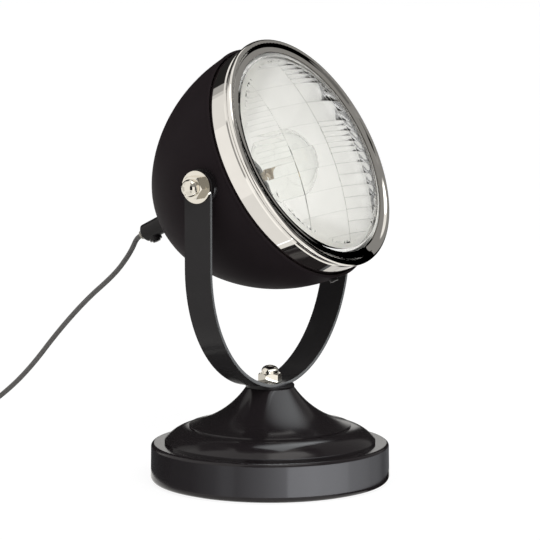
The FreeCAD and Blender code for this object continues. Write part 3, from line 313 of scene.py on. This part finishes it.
mats = {
    "black_enamel": enamel("black_enamel", (0.0240, 0.0186, 0.0208), roughness=0.50, level=0.015),
    "gloss_enamel": enamel("gloss_enamel", (0.0225, 0.0185, 0.0202), roughness=0.16, level=0.30),
    "strap_enamel": enamel("strap_enamel", (0.034, 0.032, 0.033), roughness=0.20, level=0.12),
    "black_nut": enamel("black_part", (0.0125, 0.0105, 0.0115), roughness=0.32, level=0.25),
    "chrome": metal("chrome", (0.83, 0.805, 0.765), roughness=0.02, depth=0.008),
    "nickel": metal("nickel", (0.80, 0.76, 0.68), roughness=0.05, depth=0.008),
    "zinc_steel": metal("zinc_steel", (0.60, 0.60, 0.58), roughness=0.28),
    "spring_steel": metal("spring_steel", (0.62, 0.60, 0.56), roughness=0.22),
    "cast_iron": metal("cast_iron", (0.10, 0.10, 0.10), roughness=0.6, grain=200.0, depth=0.4),
    "reflector": metal("reflector", (0.985, 0.98, 0.955), roughness=0.30, grain=60.0, depth=0.005),
    "brass": metal("brass", (0.62, 0.46, 0.24), roughness=0.22),
    "tungsten": metal("tungsten", (0.50, 0.42, 0.32), roughness=0.35),
    "pin_metal": metal("pin_metal", (0.72, 0.69, 0.62), roughness=0.2),
    "felt": plastic("felt", (0.02, 0.02, 0.021), roughness=0.95, grain=800.0, depth=0.6),
    "fibre": plastic("fibre", (0.014, 0.013, 0.013), roughness=0.7),
    "black_moulding": plastic("black_moulding", (0.02, 0.02, 0.02), roughness=0.4),
    "gasket": plastic("gasket", (0.012, 0.012, 0.012), roughness=0.7),
    "bush": plastic("bush", (0.50, 0.47, 0.40), roughness=0.35),
    "cord_tie": plastic("cord_tie", (0.02, 0.02, 0.02), roughness=0.5),
    "switch_plastic": plastic("switch_plastic", (0.018, 0.018, 0.018), roughness=0.28),
    "plug_plastic": plastic("plug_plastic", (0.02, 0.02, 0.02), roughness=0.42),
    # the grooves' and spots' painted shade darkens the glass towards this colour
    "pressed_glass": pressed("pressed_glass", (0.99, 0.99, 0.975), painted_groove_color=(0.30, 0.30, 0.28)),
    "bulb_glass": glass("bulb_glass", (0.995, 1.0, 0.99), roughness=0.0),
    "cord_braid": braid("cord_braid"),
}

# nodes that get another material than their slot's: the yoke strap a lighter and glossier copy of the black
# enamel, standing in for the lighter look of its arm, and the nuts and washers nickel
own_looks = {
    "yoke_strap": "strap_enamel",
    "base_dome_nut": "nickel",
    "pivot_dome_nuts": "nickel",
    "pivot_washers": "nickel",
}


def dress_nodes():
    """Every CAD node gets the procedural material of its slot, or its own look."""
    for sub in frame["record"]["subparts"]:
        slots = nodes[sub["node"]].data.materials
        slots.clear()
        slots.append(mats[own_looks.get(sub["node"], sub["material_slot"])])


# ---------------------------------------------------------------- lens
def grooves_of(runs):
    """Heights of a column's grooves, from the top down, with the pitch below each."""
    grooves = []
    ends = [start for start, _ in runs[1:]] + [pattern_low]
    for (start, pitch), end in zip(runs, ends):
        count = round((start - end) / pitch)
        grooves += [(start - pitch * i, pitch) for i in range(count)]
    return grooves + [(pattern_low, runs[-1][1])]


column_grooves = [grooves_of(runs) for _, _, runs in columns]


def column_at(x):
    for i, (_, right, _) in enumerate(columns):
        if x < right:
            return i
    return len(columns) - 1


def rib_at(index, y):
    """The grooves above and below a height in a column, and the pitch between them."""
    grooves = column_grooves[index]
    for (upper, pitch), (lower, _) in zip(grooves, grooves[1:]):
        if y >= lower:
            break
    return upper, lower, pitch


def relief(x, y):
    """Height of the pressed pattern, inwards from the plain dome, and how much painted shade darkens it beside a
    groove.
    """
    index = column_at(x)
    left, right, _ = columns[index]
    upper, lower, pitch = rib_at(index, y)
    across = (upper - y) / (upper - lower)
    height = rib_depths[pitch] * 4 * across * (1 - across) + column_tilt * (x - left)
    height *= min((stipple_x - x) / stipple_fade, 1.0)
    # painted shade: darkest on a groove or a column's edge, gone at groove_half from it
    beside = min(abs(upper - y), abs(y - lower), abs(x - left), abs(right - x))
    strength = painted_shade_left if x < 0 else 1.0
    return height, strength * max(1 - beside / groove_half, 0.0)


def inner_dome(x, y):
    return lens_centre_a + math.sqrt((lens_sphere - lens_t) ** 2 - x * x - y * y)


def lens_inner_point(x, y):
    """Place of the glass's inside along the axis, and how much painted shade darkens it there."""
    r = math.hypot(x, y)
    height, painted_shade = 0.0, 0.0
    if x > stipple_x and r < stipple_r:
        height = stipple_depth * noise.noise(Vector((x, y, 0)))
        # dark spots of painted shade on the crinkled edge
        spots = noise.noise(Vector((x, y, stipple_shade_z)) * stipple_shade_scale)
        painted_shade = stipple_painted_shade * max(spots, 0.0)
    elif r < relief_r:
        height, painted_shade = relief(x, y)
        height *= min((relief_r - r) / relief_fade, 1.0)
    return inner_dome(x, y) - height, painted_shade


def column_points():
    """Sample points of the pattern: beside and on every groove, and between."""
    points = []
    for (left, right, _), grooves in zip(columns, column_grooves):
        xs = [left, left + groove_half, right - groove_half]
        xs += [left + (right - left) * i / column_samples for i in range(1, column_samples)]
        ys = []
        for y, pitch in grooves:
            ys += [y - groove_half, y, y + groove_half]
            between = max(round(pitch / rib_sample), 2)
            ys += [y - pitch * i / between for i in range(1, between)]
        points += [Vector((x, y)) for x in xs for y in ys]
    return [p for p in points if p.length < relief_r - relief_margin and p.x < stipple_x]


def stipple_points():
    count = int(2 * lens_r / stipple_step)
    steps = [stipple_step * (i - count / 2) for i in range(count)]
    return [Vector((x, y)) for x in steps for y in steps
            if x > stipple_x and math.hypot(x, y) < lens_bore_r - stipple_margin]


def pattern_net():
    """Flat net of triangles inside the flange, with a point at every sample."""
    points = column_points() + stipple_points()
    for radius in (relief_r, lens_bore_r):
        points += [Vector(place) for place in circle(radius, lens_sides)]
    flat, _, faces, *_ = delaunay_2d_cdt(points, [], [], 0, merge_within)
    return flat, [tuple(reversed(face)) for face in faces]


def outer_profile():
    """(radius, place along the axis) round the flange and up the outside of the dome."""
    profile = [
        (lens_bore_r, flange_back_a),
        (lens_flange_r - flange_bevel, flange_back_a),
        (lens_flange_r, flange_back_a + flange_bevel),
        (lens_flange_r, flange_front_a - flange_bevel),
        (lens_flange_r - flange_bevel, flange_front_a),
        (lens_r, flange_front_a),
    ]
    for i in range(dome_steps):
        radius = lens_r * (1 - i / dome_steps)
        profile.append((radius, lens_centre_a + math.sqrt(lens_sphere ** 2 - radius ** 2)))
    return profile


def lens_mesh():
    """Plain dome outside, pressed pattern inside, and the flange round it."""
    flat, faces = pattern_net()
    inside = [lens_inner_point(p.x, p.y) for p in flat]
    verts = [(p.x, p.y, place) for p, (place, _) in zip(flat, inside)]
    last = [i for i, p in enumerate(flat) if p.length > lens_bore_r - rim_slack]
    last.sort(key=lambda i: math.atan2(flat[i].y, flat[i].x))
    angles = [math.atan2(flat[i].y, flat[i].x) for i in last]
    count = len(last)
    for radius, a in outer_profile():
        ring = list(range(len(verts), len(verts) + count))
        verts += [(radius * math.cos(t), radius * math.sin(t), a) for t in angles]
        for k in range(count):
            j = (k + 1) % count
            faces.append((last[k], last[j], ring[j], ring[k]))
        last = ring
    top = len(verts)
    verts.append((0, 0, lens_edge_a + lens_sag))
    faces += [(last[k], last[(k + 1) % count], top) for k in range(count)]
    mesh = mesh_from("lens_pressed", verts, faces)
    # the painted shade goes on the mesh as an attribute that darkens the glass's colour
    painted_glass_shade = mesh.attributes.new("painted_glass_shade", "FLOAT", "POINT")
    for item, (_, painted_shade) in zip(painted_glass_shade.data, inside):
        item.value = painted_shade
    return mesh


def build_lens():
    obj = new_object("lens_pressed", lens_mesh(), mats["pressed_glass"], "head",
                     head_matrix(), smooth_deg=12)
    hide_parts("lens")


# ---------------------------------------------------------------- cord
# control points, as the solids' routes have them
cord_exit = (0.0, 100.42, 154.10)
coil_centre = (-54.0, 224.0)
switch_end_in = (-96.0, 270.0, 5.0)
switch_end_out = (-96.0, 214.0, 5.0)
lead_route = [
    cord_exit, (0, 103.90, 152.33), (0, 107.42, 145.0), (0, 112.62, 137.6),
    (0, 119.62, 129.3), (0, 129.02, 120.9), (0, 141.92, 110.6), (0, 157.0, 96.5),
    (-0.5, 172.5, 80.0), (-2.5, 187.0, 62.0), (-6.5, 201.5, 46.0), (-13.5, 218.5, 31.0),
    (-24.5, 238.0, 18.5), (-39.0, 258.0, 9.5), (-56.0, 275.5, 4.0), (-71.5, 290.0, 1.7),
    (-85.3, 289.8, 2.1), (-89.5, 288.3, 2.7), (-93.0, 285.4, 3.4), (-95.2, 281.5, 4.2),
    (-96.0, 277.0, 5.0), switch_end_in,
]
link_route = [
    switch_end_out, (-96.0, 207.0, 5.0), (-92.0, 200.5, 3.4), (-84.0, 196.7, 2.6),
    (-67.0, 196.25, 2.5),
]
tail_route = [
    (-22.2, 244.5, 2.6), (-14.2, 252.8, 4.0), (-6.87, 257.84, 6.8), (0.34, 262.34, 6.8),
]
coil_columns = 4
coil_layers = 3
coil_turns = 11.35
coil_mid_r = 5.5 * cord_d
coil_low = 0.8 + cord_r  # middle of the lowest layer's cord
coil_steps = 16          # points in a turn
coil_start_deg = -90.0
coil_shift = 0.25        # share of a turn in which the cord moves over to the next place

spline_order = 3
spline_steps = 12


def coil_places():
    """(radius, height) of each turn, layer by layer, out and back in."""
    places = []
    for layer in range(coil_layers):
        order = list(range(coil_columns))
        if layer % 2 == 0:
            order.reverse()
        for column in order:
            radius = coil_mid_r + (column - (coil_columns - 1) / 2) * cord_d
            places.append((radius, coil_low + layer * cord_d))
    return places


def coil_route():
    """Turns that start at the foot of the coil and end at its right side, going round +Z."""
    places = coil_places()
    points = []
    total = int(round(coil_turns * coil_steps))
    for i in range(total + 1):
        turn = i / coil_steps
        k = min(int(turn), len(places) - 1)
        nxt = min(k + 1, len(places) - 1)
        blend = min(max((turn - k - (1 - coil_shift)) / coil_shift, 0.0), 1.0)
        radius = places[k][0] * (1 - blend) + places[nxt][0] * blend
        height = places[k][1] * (1 - blend) + places[nxt][1] * blend
        angle = math.radians(coil_start_deg) + math.tau * turn
        points.append((coil_centre[0] + radius * math.cos(angle),
                       coil_centre[1] + radius * math.sin(angle), height))
    return points


def line_of(points):
    """The smooth line that a route's spline follows, in metres."""
    curve = bpy.data.curves.new("guide", "CURVE")
    curve.dimensions = "3D"
    spline = curve.splines.new("NURBS")
    spline.points.add(len(points) - 1)
    for point, (x, y, z) in zip(spline.points, points):
        point.co = (x * MM, y * MM, z * MM, 1)
    spline.order_u = spline_order
    spline.use_endpoint_u = True
    spline.resolution_u = spline_steps
    guide = bpy.data.objects.new("guide", curve)
    bpy.context.scene.collection.objects.link(guide)
    mesh = bpy.data.meshes.new_from_object(guide)
    line = [Vector(v.co) for v in mesh.vertices]
    bpy.data.objects.remove(guide)
    return line


def tube_points(line):
    """Rings of points round a line, and how far along it each lies, in millimetres."""
    verts, alongs = [], []
    along = 0.0
    up = Vector((1, 0, 0))
    for i, here in enumerate(line):
        ahead = line[min(i + 1, len(line) - 1)]
        behind = line[max(i - 1, 0)]
        heading = (ahead - behind).normalized()
        side = heading.cross(up).normalized()
        up = side.cross(heading).normalized()
        along += (here - behind).length / MM
        for k in range(cord_sides):
            t = k * math.tau / cord_sides
            verts.append(here + (side * math.cos(t) + up * math.sin(t)) * cord_r * MM)
            alongs.append(along)
    return verts, alongs


def tube_faces(rings):
    """Quads from ring to ring, and then the two end caps."""
    faces = []
    for ring in range(1, rings):
        a, b = (ring - 1) * cord_sides, ring * cord_sides
        for k in range(cord_sides):
            j = (k + 1) % cord_sides
            faces.append((a + k, a + j, b + j, b + k))
    last = (rings - 1) * cord_sides
    faces.append(tuple(reversed(range(cord_sides))))
    faces.append(tuple(range(last, last + cord_sides)))
    return faces


def map_tube(mesh, alongs):
    """UV map in millimetres: half of the way round, and the way along."""
    layer = mesh.uv_layers.new(name="UVMap")
    caps = len(mesh.polygons) - 2
    for face in mesh.polygons:
        at_seam = face.index < caps and face.index % cord_sides == cord_sides - 1
        for loop in face.loop_indices:
            vertex = mesh.loops[loop].vertex_index
            k = vertex % cord_sides
            if at_seam and k == 0:
                k = cord_sides
            layer.data[loop].uv = (k / cord_sides * math.pi * cord_r, alongs[vertex])


def cord_tube(name, points):
    """Mesh tube along a route, mapped for the braid, and the line that it follows."""
    line = line_of(points)
    verts, alongs = tube_points(line)
    mesh = mesh_from(name, [tuple(v / MM) for v in verts], tube_faces(len(line)))
    map_tube(mesh, alongs)
    return mesh, line


def build_lead():
    """The free cord, from the grip to the switch."""
    mesh, line = cord_tube("cord_hanging", lead_route)
    lead = new_object("cord_hanging", mesh, mats["cord_braid"], None)
    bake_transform(lead)
    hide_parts("cord_lead")


def build_rest():
    """The put-away cord, from the switch over the coil to the plug."""
    mesh, line = cord_tube("cord_coiled", link_route + coil_route() + tail_route)
    rest = new_object("cord_coiled", mesh, mats["cord_braid"], "yoke")
    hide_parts("cord_link", "cord_coil", "cord_tail")


# ---------------------------------------------------------------- camera and key lamp
# Places and distances are in metres here, angles in degrees.
camera_azimuth = 302.0
camera_elevation = 7.45
camera_distance = 2.0
camera_target = Vector((0, 0, 0.138))
camera_far = 20.0
camera_lens = 206.84     # millimetres, as the sensor
camera_sensor = 36.0

key_place = Vector((-1.2, -1.4, 1.6))
key_target = Vector((0, 0, 0.15))
key_size = 1.0
key_power = 14.0         # watts


def build_camera():
    data = bpy.data.cameras.new("camera")
    data.sensor_width = camera_sensor
    data.lens = camera_lens
    data.clip_end = camera_far
    obj = bpy.data.objects.new("camera", data)
    bpy.context.scene.collection.objects.link(obj)
    turn, lift = math.radians(camera_azimuth), math.radians(camera_elevation)
    away = Vector((math.sin(turn) * math.cos(lift), -math.cos(turn) * math.cos(lift),
                   math.sin(lift)))
    obj.location = camera_target + away * camera_distance
    obj.rotation_euler = (-away).to_track_quat("-Z", "Y").to_euler()
    bpy.context.scene.camera = obj


def build_key():
    """Soft lamp. The studio's map stands for it in glossy reflections."""
    data = bpy.data.lights.new("key", "AREA")
    data.shape = "RECTANGLE"
    data.size = key_size
    data.size_y = key_size
    data.energy = key_power
    obj = bpy.data.objects.new("key", data)
    bpy.context.scene.collection.objects.link(obj)
    obj.location = key_place
    obj.rotation_euler = (key_target - key_place).to_track_quat("-Z", "Y").to_euler()
    obj.visible_glossy = False
    obj.visible_transmission = False


# ---------------------------------------------------------------- stage helpers
def stage_object(name, mesh, mat):
    mesh.materials.append(mat)
    obj = bpy.data.objects.new(name, mesh)
    bpy.context.scene.collection.objects.link(obj)
    return obj


def glossy_only(obj):
    obj.visible_camera = False
    obj.visible_diffuse = False
    obj.visible_transmission = False
    obj.visible_shadow = False


def bare_material(name):
    """Material with no shader yet, and the socket that takes one."""
    mat, tree, shader = material(name)
    tree.nodes.remove(shader)
    return mat, tree, tree.nodes["Material Output"].inputs["Surface"]


def emission(tree, strength, color=(1, 1, 1)):
    glow = add(tree, "ShaderNodeEmission")
    glow.inputs["Color"].default_value = (*color, 1)
    glow.inputs["Strength"].default_value = strength
    return glow


def mix_shaders(tree, share, first, second, surface):
    """The second shader's share over the first, as the surface."""
    mix = add(tree, "ShaderNodeMixShader")
    tree.links.new(share, mix.inputs["Fac"])
    tree.links.new(first, mix.inputs[1])
    tree.links.new(second, mix.inputs[2])
    tree.links.new(mix.outputs["Shader"], surface)


def seen_as_white(tree, path):
    """1 for rays from the camera and through glass, 0 for the rest."""
    return arithmetic(tree, "MAXIMUM", path.outputs["Is Camera Ray"],
                      path.outputs["Is Transmission Ray"])


def azimuth_share(tree, vector):
    """Azimuth about +Z, with -180 to 180 degrees as 0 to 1, and the height."""
    parts = add(tree, "ShaderNodeSeparateXYZ")
    tree.links.new(vector, parts.inputs["Vector"])
    angle = arithmetic(tree, "ARCTAN2", parts.outputs["Y"], parts.outputs["X"])
    share = add(tree, "ShaderNodeMapRange")
    share.inputs["From Min"].default_value = -math.pi
    share.inputs["From Max"].default_value = math.pi
    tree.links.new(angle, share.inputs["Value"])
    return share.outputs["Result"], parts.outputs["Z"]


# ---------------------------------------------------------------- floor
floor_half = 6.0         # metres
floor_shade = 0.9
floor_glow = 0.75        # share of the floor's white that no shadow darkens
floor_white = 1.19       # strength of that share, so that the whole is white


def build_floor():
    corners = [(-1, -1), (1, -1), (1, 1), (-1, 1)]
    verts = [(x * floor_half, y * floor_half, 0) for x, y in corners]
    mesh = mesh_from("floor", verts, [(0, 1, 2, 3)])
    mat, tree, shader = material("floor")
    set_values(shader, Base_Color=(floor_shade, floor_shade, floor_shade, 1), Roughness=0.9)
    path = add(tree, "ShaderNodeLightPath")
    glow = emission(tree, floor_white)
    share = spread(tree, seen_as_white(tree, path), 0.0, floor_glow)
    mix_shaders(tree, share, shader.outputs["BSDF"], glow.outputs["Emission"],
                tree.nodes["Material Output"].inputs["Surface"])
    floor = stage_object("floor", mesh, mat)
    floor.visible_glossy = False


# ---------------------------------------------------------------- fence, card, strip, flag
# Only reflections show these four. Their places and levels were set against the photo, so
# they are right from its side only.

# what the base's wall mirrors: a low fence round it, in metres, with its brightness by
# azimuth in degrees. The levels were worked out from readings of the photo's brightness
# along that wall, then rounded and thinned out.
fence_r = 0.092
fence_low = 0.0005
fence_high = 0.024
fence_sides = 96
fence_strength = 6.9
fence_tint = (0.96, 0.99, 1.04)
fence_stops = [
    (-180, 0.12), (-174, 0.20), (-168, 0.20), (-167, 0.15), (-152, 0.32), (-139, 0.56),
    (-138, 0.86), (-124, 0.94), (-110, 0.82), (-101, 0.65), (-100, 0.54), (-79, 0.19),
    (-61, 0.04), (0, 0.01), (140, 0.01), (165, 0.04), (180, 0.12),
]


def build_fence():
    ring = circle(fence_r, fence_sides)
    verts = [(x, y, z) for z in (fence_low, fence_high) for x, y in ring]
    faces = []
    for i in range(fence_sides):
        j = (i + 1) % fence_sides
        faces.append((i, j, j + fence_sides, i + fence_sides))
    mesh = mesh_from("fence", verts, faces)
    mat, tree, surface = bare_material("fence")
    where = add(tree, "ShaderNodeTexCoord")
    turn, _ = azimuth_share(tree, where.outputs["Object"])
    stops = [((azimuth + 180) / 360, tuple(c * value for c in fence_tint))
             for azimuth, value in fence_stops]
    glow = emission(tree, fence_strength)
    tree.links.new(ramp(tree, turn, stops), glow.inputs["Color"])
    tree.links.new(glow.outputs["Emission"], surface)
    glossy_only(stage_object("fence", mesh, mat))


# a black flag in front of the lens, in the head's frame: metal on its -X side mirrors it
flag_x = 20.0
flag_low = -95.0
flag_high = 40.0
flag_clear = 0.5         # from the glass to the flag
flag_reach = 235.0
flag_steps = 12          # along the edge that follows the glass
flag_depth = 2.5         # rays that have bounced more often pass it


def build_flag():
    glass_low = -math.sqrt(lens_r ** 2 - flag_x ** 2)
    corners = [(flag_low, lens_edge_a + flag_clear)]
    for i in range(flag_steps + 1):
        y = glass_low + (flag_high - glass_low) * i / flag_steps
        surface = lens_centre_a + math.sqrt(lens_sphere ** 2 - flag_x ** 2 - y ** 2)
        corners.append((y, surface + flag_clear))
    corners += [(flag_high, flag_reach), (flag_low, flag_reach)]
    mesh = mesh_from("flag", [(flag_x, y, a) for y, a in corners], [tuple(range(len(corners)))])
    mesh.transform(Matrix.Scale(MM, 4) @ head_matrix())
    mat, tree, shader = material("flag")
    set_values(shader, Base_Color=(0, 0, 0, 1), Specular_IOR_Level=0)
    path = add(tree, "ShaderNodeLightPath")
    later = arithmetic(tree, "GREATER_THAN", path.outputs["Ray Depth"], flag_depth)
    clear = add(tree, "ShaderNodeBsdfTransparent")
    mix_shaders(tree, later, shader.outputs["BSDF"], clear.outputs["BSDF"],
                tree.nodes["Material Output"].inputs["Surface"])
    glossy_only(stage_object("flag", mesh, mat))


back_tint = (0.94, 0.98, 1.0)


def lit_behind(name, strength, masks_of):
    """Material that glows on a face's back only, and is clear elsewhere."""
    mat, tree, surface = bare_material(name)
    side = add(tree, "ShaderNodeNewGeometry")
    share = product(tree, [side.outputs["Backfacing"]] + masks_of(tree))
    glow = emission(tree, strength, back_tint)
    clear = add(tree, "ShaderNodeBsdfTransparent")
    mix_shaders(tree, share, clear.outputs["BSDF"], glow.outputs["Emission"], surface)
    return mat


# a card over the neck, lit on its underside, dim at its back and towards +X
card_z = 88.0
card_x = (-45.0, 55.0)
card_y = (-46.0, 6.0)
card_slant = 0.4         # the bright side turns towards -X
card_dim = 12.0          # unlit up to this far in front of the swivel axis
card_full = 38.0         # lit in full from here forward
card_fade_x = 8.0        # dims from here to its +X edge
card_strength = 3.4


def card_masks(tree):
    where = add(tree, "ShaderNodeTexCoord")
    parts = add(tree, "ShaderNodeSeparateXYZ")
    tree.links.new(where.outputs["Object"], parts.inputs["Vector"])
    forward = arithmetic(tree, "MULTIPLY_ADD", parts.outputs["X"], card_slant,
                         parts.outputs["Y"])
    return [step_mask(tree, forward, -card_dim * MM, -card_full * MM),
            step_mask(tree, parts.outputs["X"], card_x[1] * MM, card_fade_x * MM)]


def build_card():
    left, right = card_x
    front, back = card_y
    corners = [(left, front), (right, front), (right, back), (left, back)]
    verts = [(x * MM, y * MM, card_z * MM) for x, y in corners]
    mesh = mesh_from("card", verts, [(0, 1, 2, 3)])
    glossy_only(stage_object("card", mesh, lit_behind("card", card_strength, card_masks)))


# a strip of light that the bar's front edge mirrors, all along the U
strip_gap = 6.0
strip_away = Vector((0.841, -0.525, -0.130)) * strip_gap * MM
strip_strength = 5.0
strip_top = 186.0        # below the pivot's washer
strip_facing = 0.99      # front faces look towards -Y by at least this much


def build_strip():
    strap = nodes["yoke_strap"]
    turn = strap.matrix_world
    points = [turn @ v.co + strip_away for v in strap.data.vertices]
    faces = [list(f.vertices) for f in strap.data.polygons
             if f.normal.y < -strip_facing and (turn @ f.center).z < strip_top * MM]
    mesh = mesh_from("strip", points, faces)
    mat = lit_behind("strip", strip_strength, lambda tree: [])
    glossy_only(stage_object("strip", mesh, mat))


# ---------------------------------------------------------------- world
# The studio as metal and paint mirror it. A panel has azimuth from and to, elevation from
# and to and the width of its soft edge, all in degrees, and a brightness. Azimuth 0 is the
# photo's right, 90 is behind the lamp and -90 in front. Later panels cover earlier ones.
# Their edges and levels were set against readings of the photo's reflections.
studio_turn = 56.0       # added to the azimuth about +Z to give a panel's
studio_white = (1.0, 0.985, 0.955)
studio_panels = [
    (-200, -96, -100, -29, 1, 0.87),
    (148, 200, 14, 42, 4, 0.87),
    (150, 180, -22, 4, 3, 0.68),
    (-200, 200, 74, 100, 8, 0.9),
    (60, 132, -100, -52, 6, 0.27),
    (62, 92, -66, -20, 3, 0.70),
    (-75, 75, -16, 62, 5, 0.27),
    (60, 136, -4, 44, 2, 0.02),
    (98, 160, 44, 66, 4, 0.08),
    (135, 145, 20, 44, 1.5, 0.43),
    (145, 149, 20, 44, 1.5, 0.68),
    (80, 93, 4, 15, 3, 1.0),
    (-20, 75, -36, 2, 4, 0.0),
    (-96, -45, 14, 48, 8, 0.34),
    (-96, -47, -24, 16, 3, 1.15),
    (-47, -20, -24, 16, 3, 0.14),
    (-120, -93, 18, 60, 4, 0.33),
    (-122, -108, -38, -26, 3, 0.50),
    (-119, -98.5, -18, 20, 1.5, 0.0),
    (48, 78, -6, 12, 3, 0.02),
    (-95, 0, 60, 86, 8, 2.8),
]
world_fill = 0.5         # what matt surfaces get from all round
behind_glass = 1.15      # white seen through glass, which dims it again

# sockets of a Mix node, which have the same names for numbers and colours
number_a, number_b, number_out = 2, 3, 0
color_a, color_b, color_out = 6, 7, 2


def band(tree, value, low, high, soft):
    """Masks of a soft-edged band from low to high."""
    return [step_mask(tree, value, low - soft / 2, low + soft / 2),
            step_mask(tree, value, high + soft / 2, high - soft / 2)]


def studio_directions(tree):
    """A direction's azimuth and elevation in degrees, as the panels have them."""
    where = add(tree, "ShaderNodeTexCoord")
    turned = add(tree, "ShaderNodeMapping")
    turned.inputs["Rotation"].default_value = (0, 0, math.radians(studio_turn))
    tree.links.new(where.outputs["Generated"], turned.inputs["Vector"])
    share, up = azimuth_share(tree, turned.outputs["Vector"])
    azimuth = spread(tree, share, -180, 180)
    lift = arithmetic(tree, "ARCSINE", up)
    return azimuth, arithmetic(tree, "DEGREES", lift)


def studio_map(tree):
    """Brightness of the studio by direction."""
    azimuth, elevation = studio_directions(tree)
    color = None
    for az_from, az_to, el_from, el_to, soft, value in studio_panels:
        mask = product(tree, band(tree, azimuth, az_from, az_to, soft)
                       + band(tree, elevation, el_from, el_to, soft))
        mix = add(tree, "ShaderNodeMix", data_type="RGBA")
        tree.links.new(mask, mix.inputs["Factor"])
        if color:
            tree.links.new(color, mix.inputs[color_a])
        else:
            mix.inputs[color_a].default_value = (*studio_white, 1)
        mix.inputs[color_b].default_value = (*(value * c for c in studio_white), 1)
        color = mix.outputs[color_out]
    return color


def build_world():
    """White to the camera and through glass, the studio's map in reflections."""
    world = bpy.data.worlds.new("studio")
    bpy.context.scene.world = world
    world.use_nodes = True
    world.cycles.sampling_method = "NONE"
    tree = world.node_tree
    path = add(tree, "ShaderNodeLightPath")
    through_glass = path.outputs["Is Transmission Ray"]
    white = tree.nodes["Background"]
    white.inputs["Color"].default_value = (1, 1, 1, 1)
    fill = add(tree, "ShaderNodeMix", data_type="FLOAT")
    fill.inputs[number_a].default_value = world_fill
    tree.links.new(seen_as_white(tree, path), fill.inputs["Factor"])
    tree.links.new(spread(tree, through_glass, 1.0, behind_glass), fill.inputs[number_b])
    tree.links.new(fill.outputs[number_out], white.inputs["Strength"])
    mirrored = add(tree, "ShaderNodeBackground")
    tree.links.new(studio_map(tree), mirrored.inputs["Color"])
    passed = arithmetic(tree, "SUBTRACT", path.outputs["Is Glossy Ray"], through_glass,
                        clamp=True)
    mix_shaders(tree, passed, white.outputs["Background"], mirrored.outputs["Background"],
                tree.nodes["World Output"].inputs["Surface"])


def build_studio():
    build_camera()
    build_floor()
    build_fence()
    build_flag()
    build_card()
    build_strip()
    build_world()
    build_key()
    bpy.context.scene.view_settings.view_transform = "Standard"


dress_nodes()
build_lens()
build_lead()
build_rest()
build_studio()
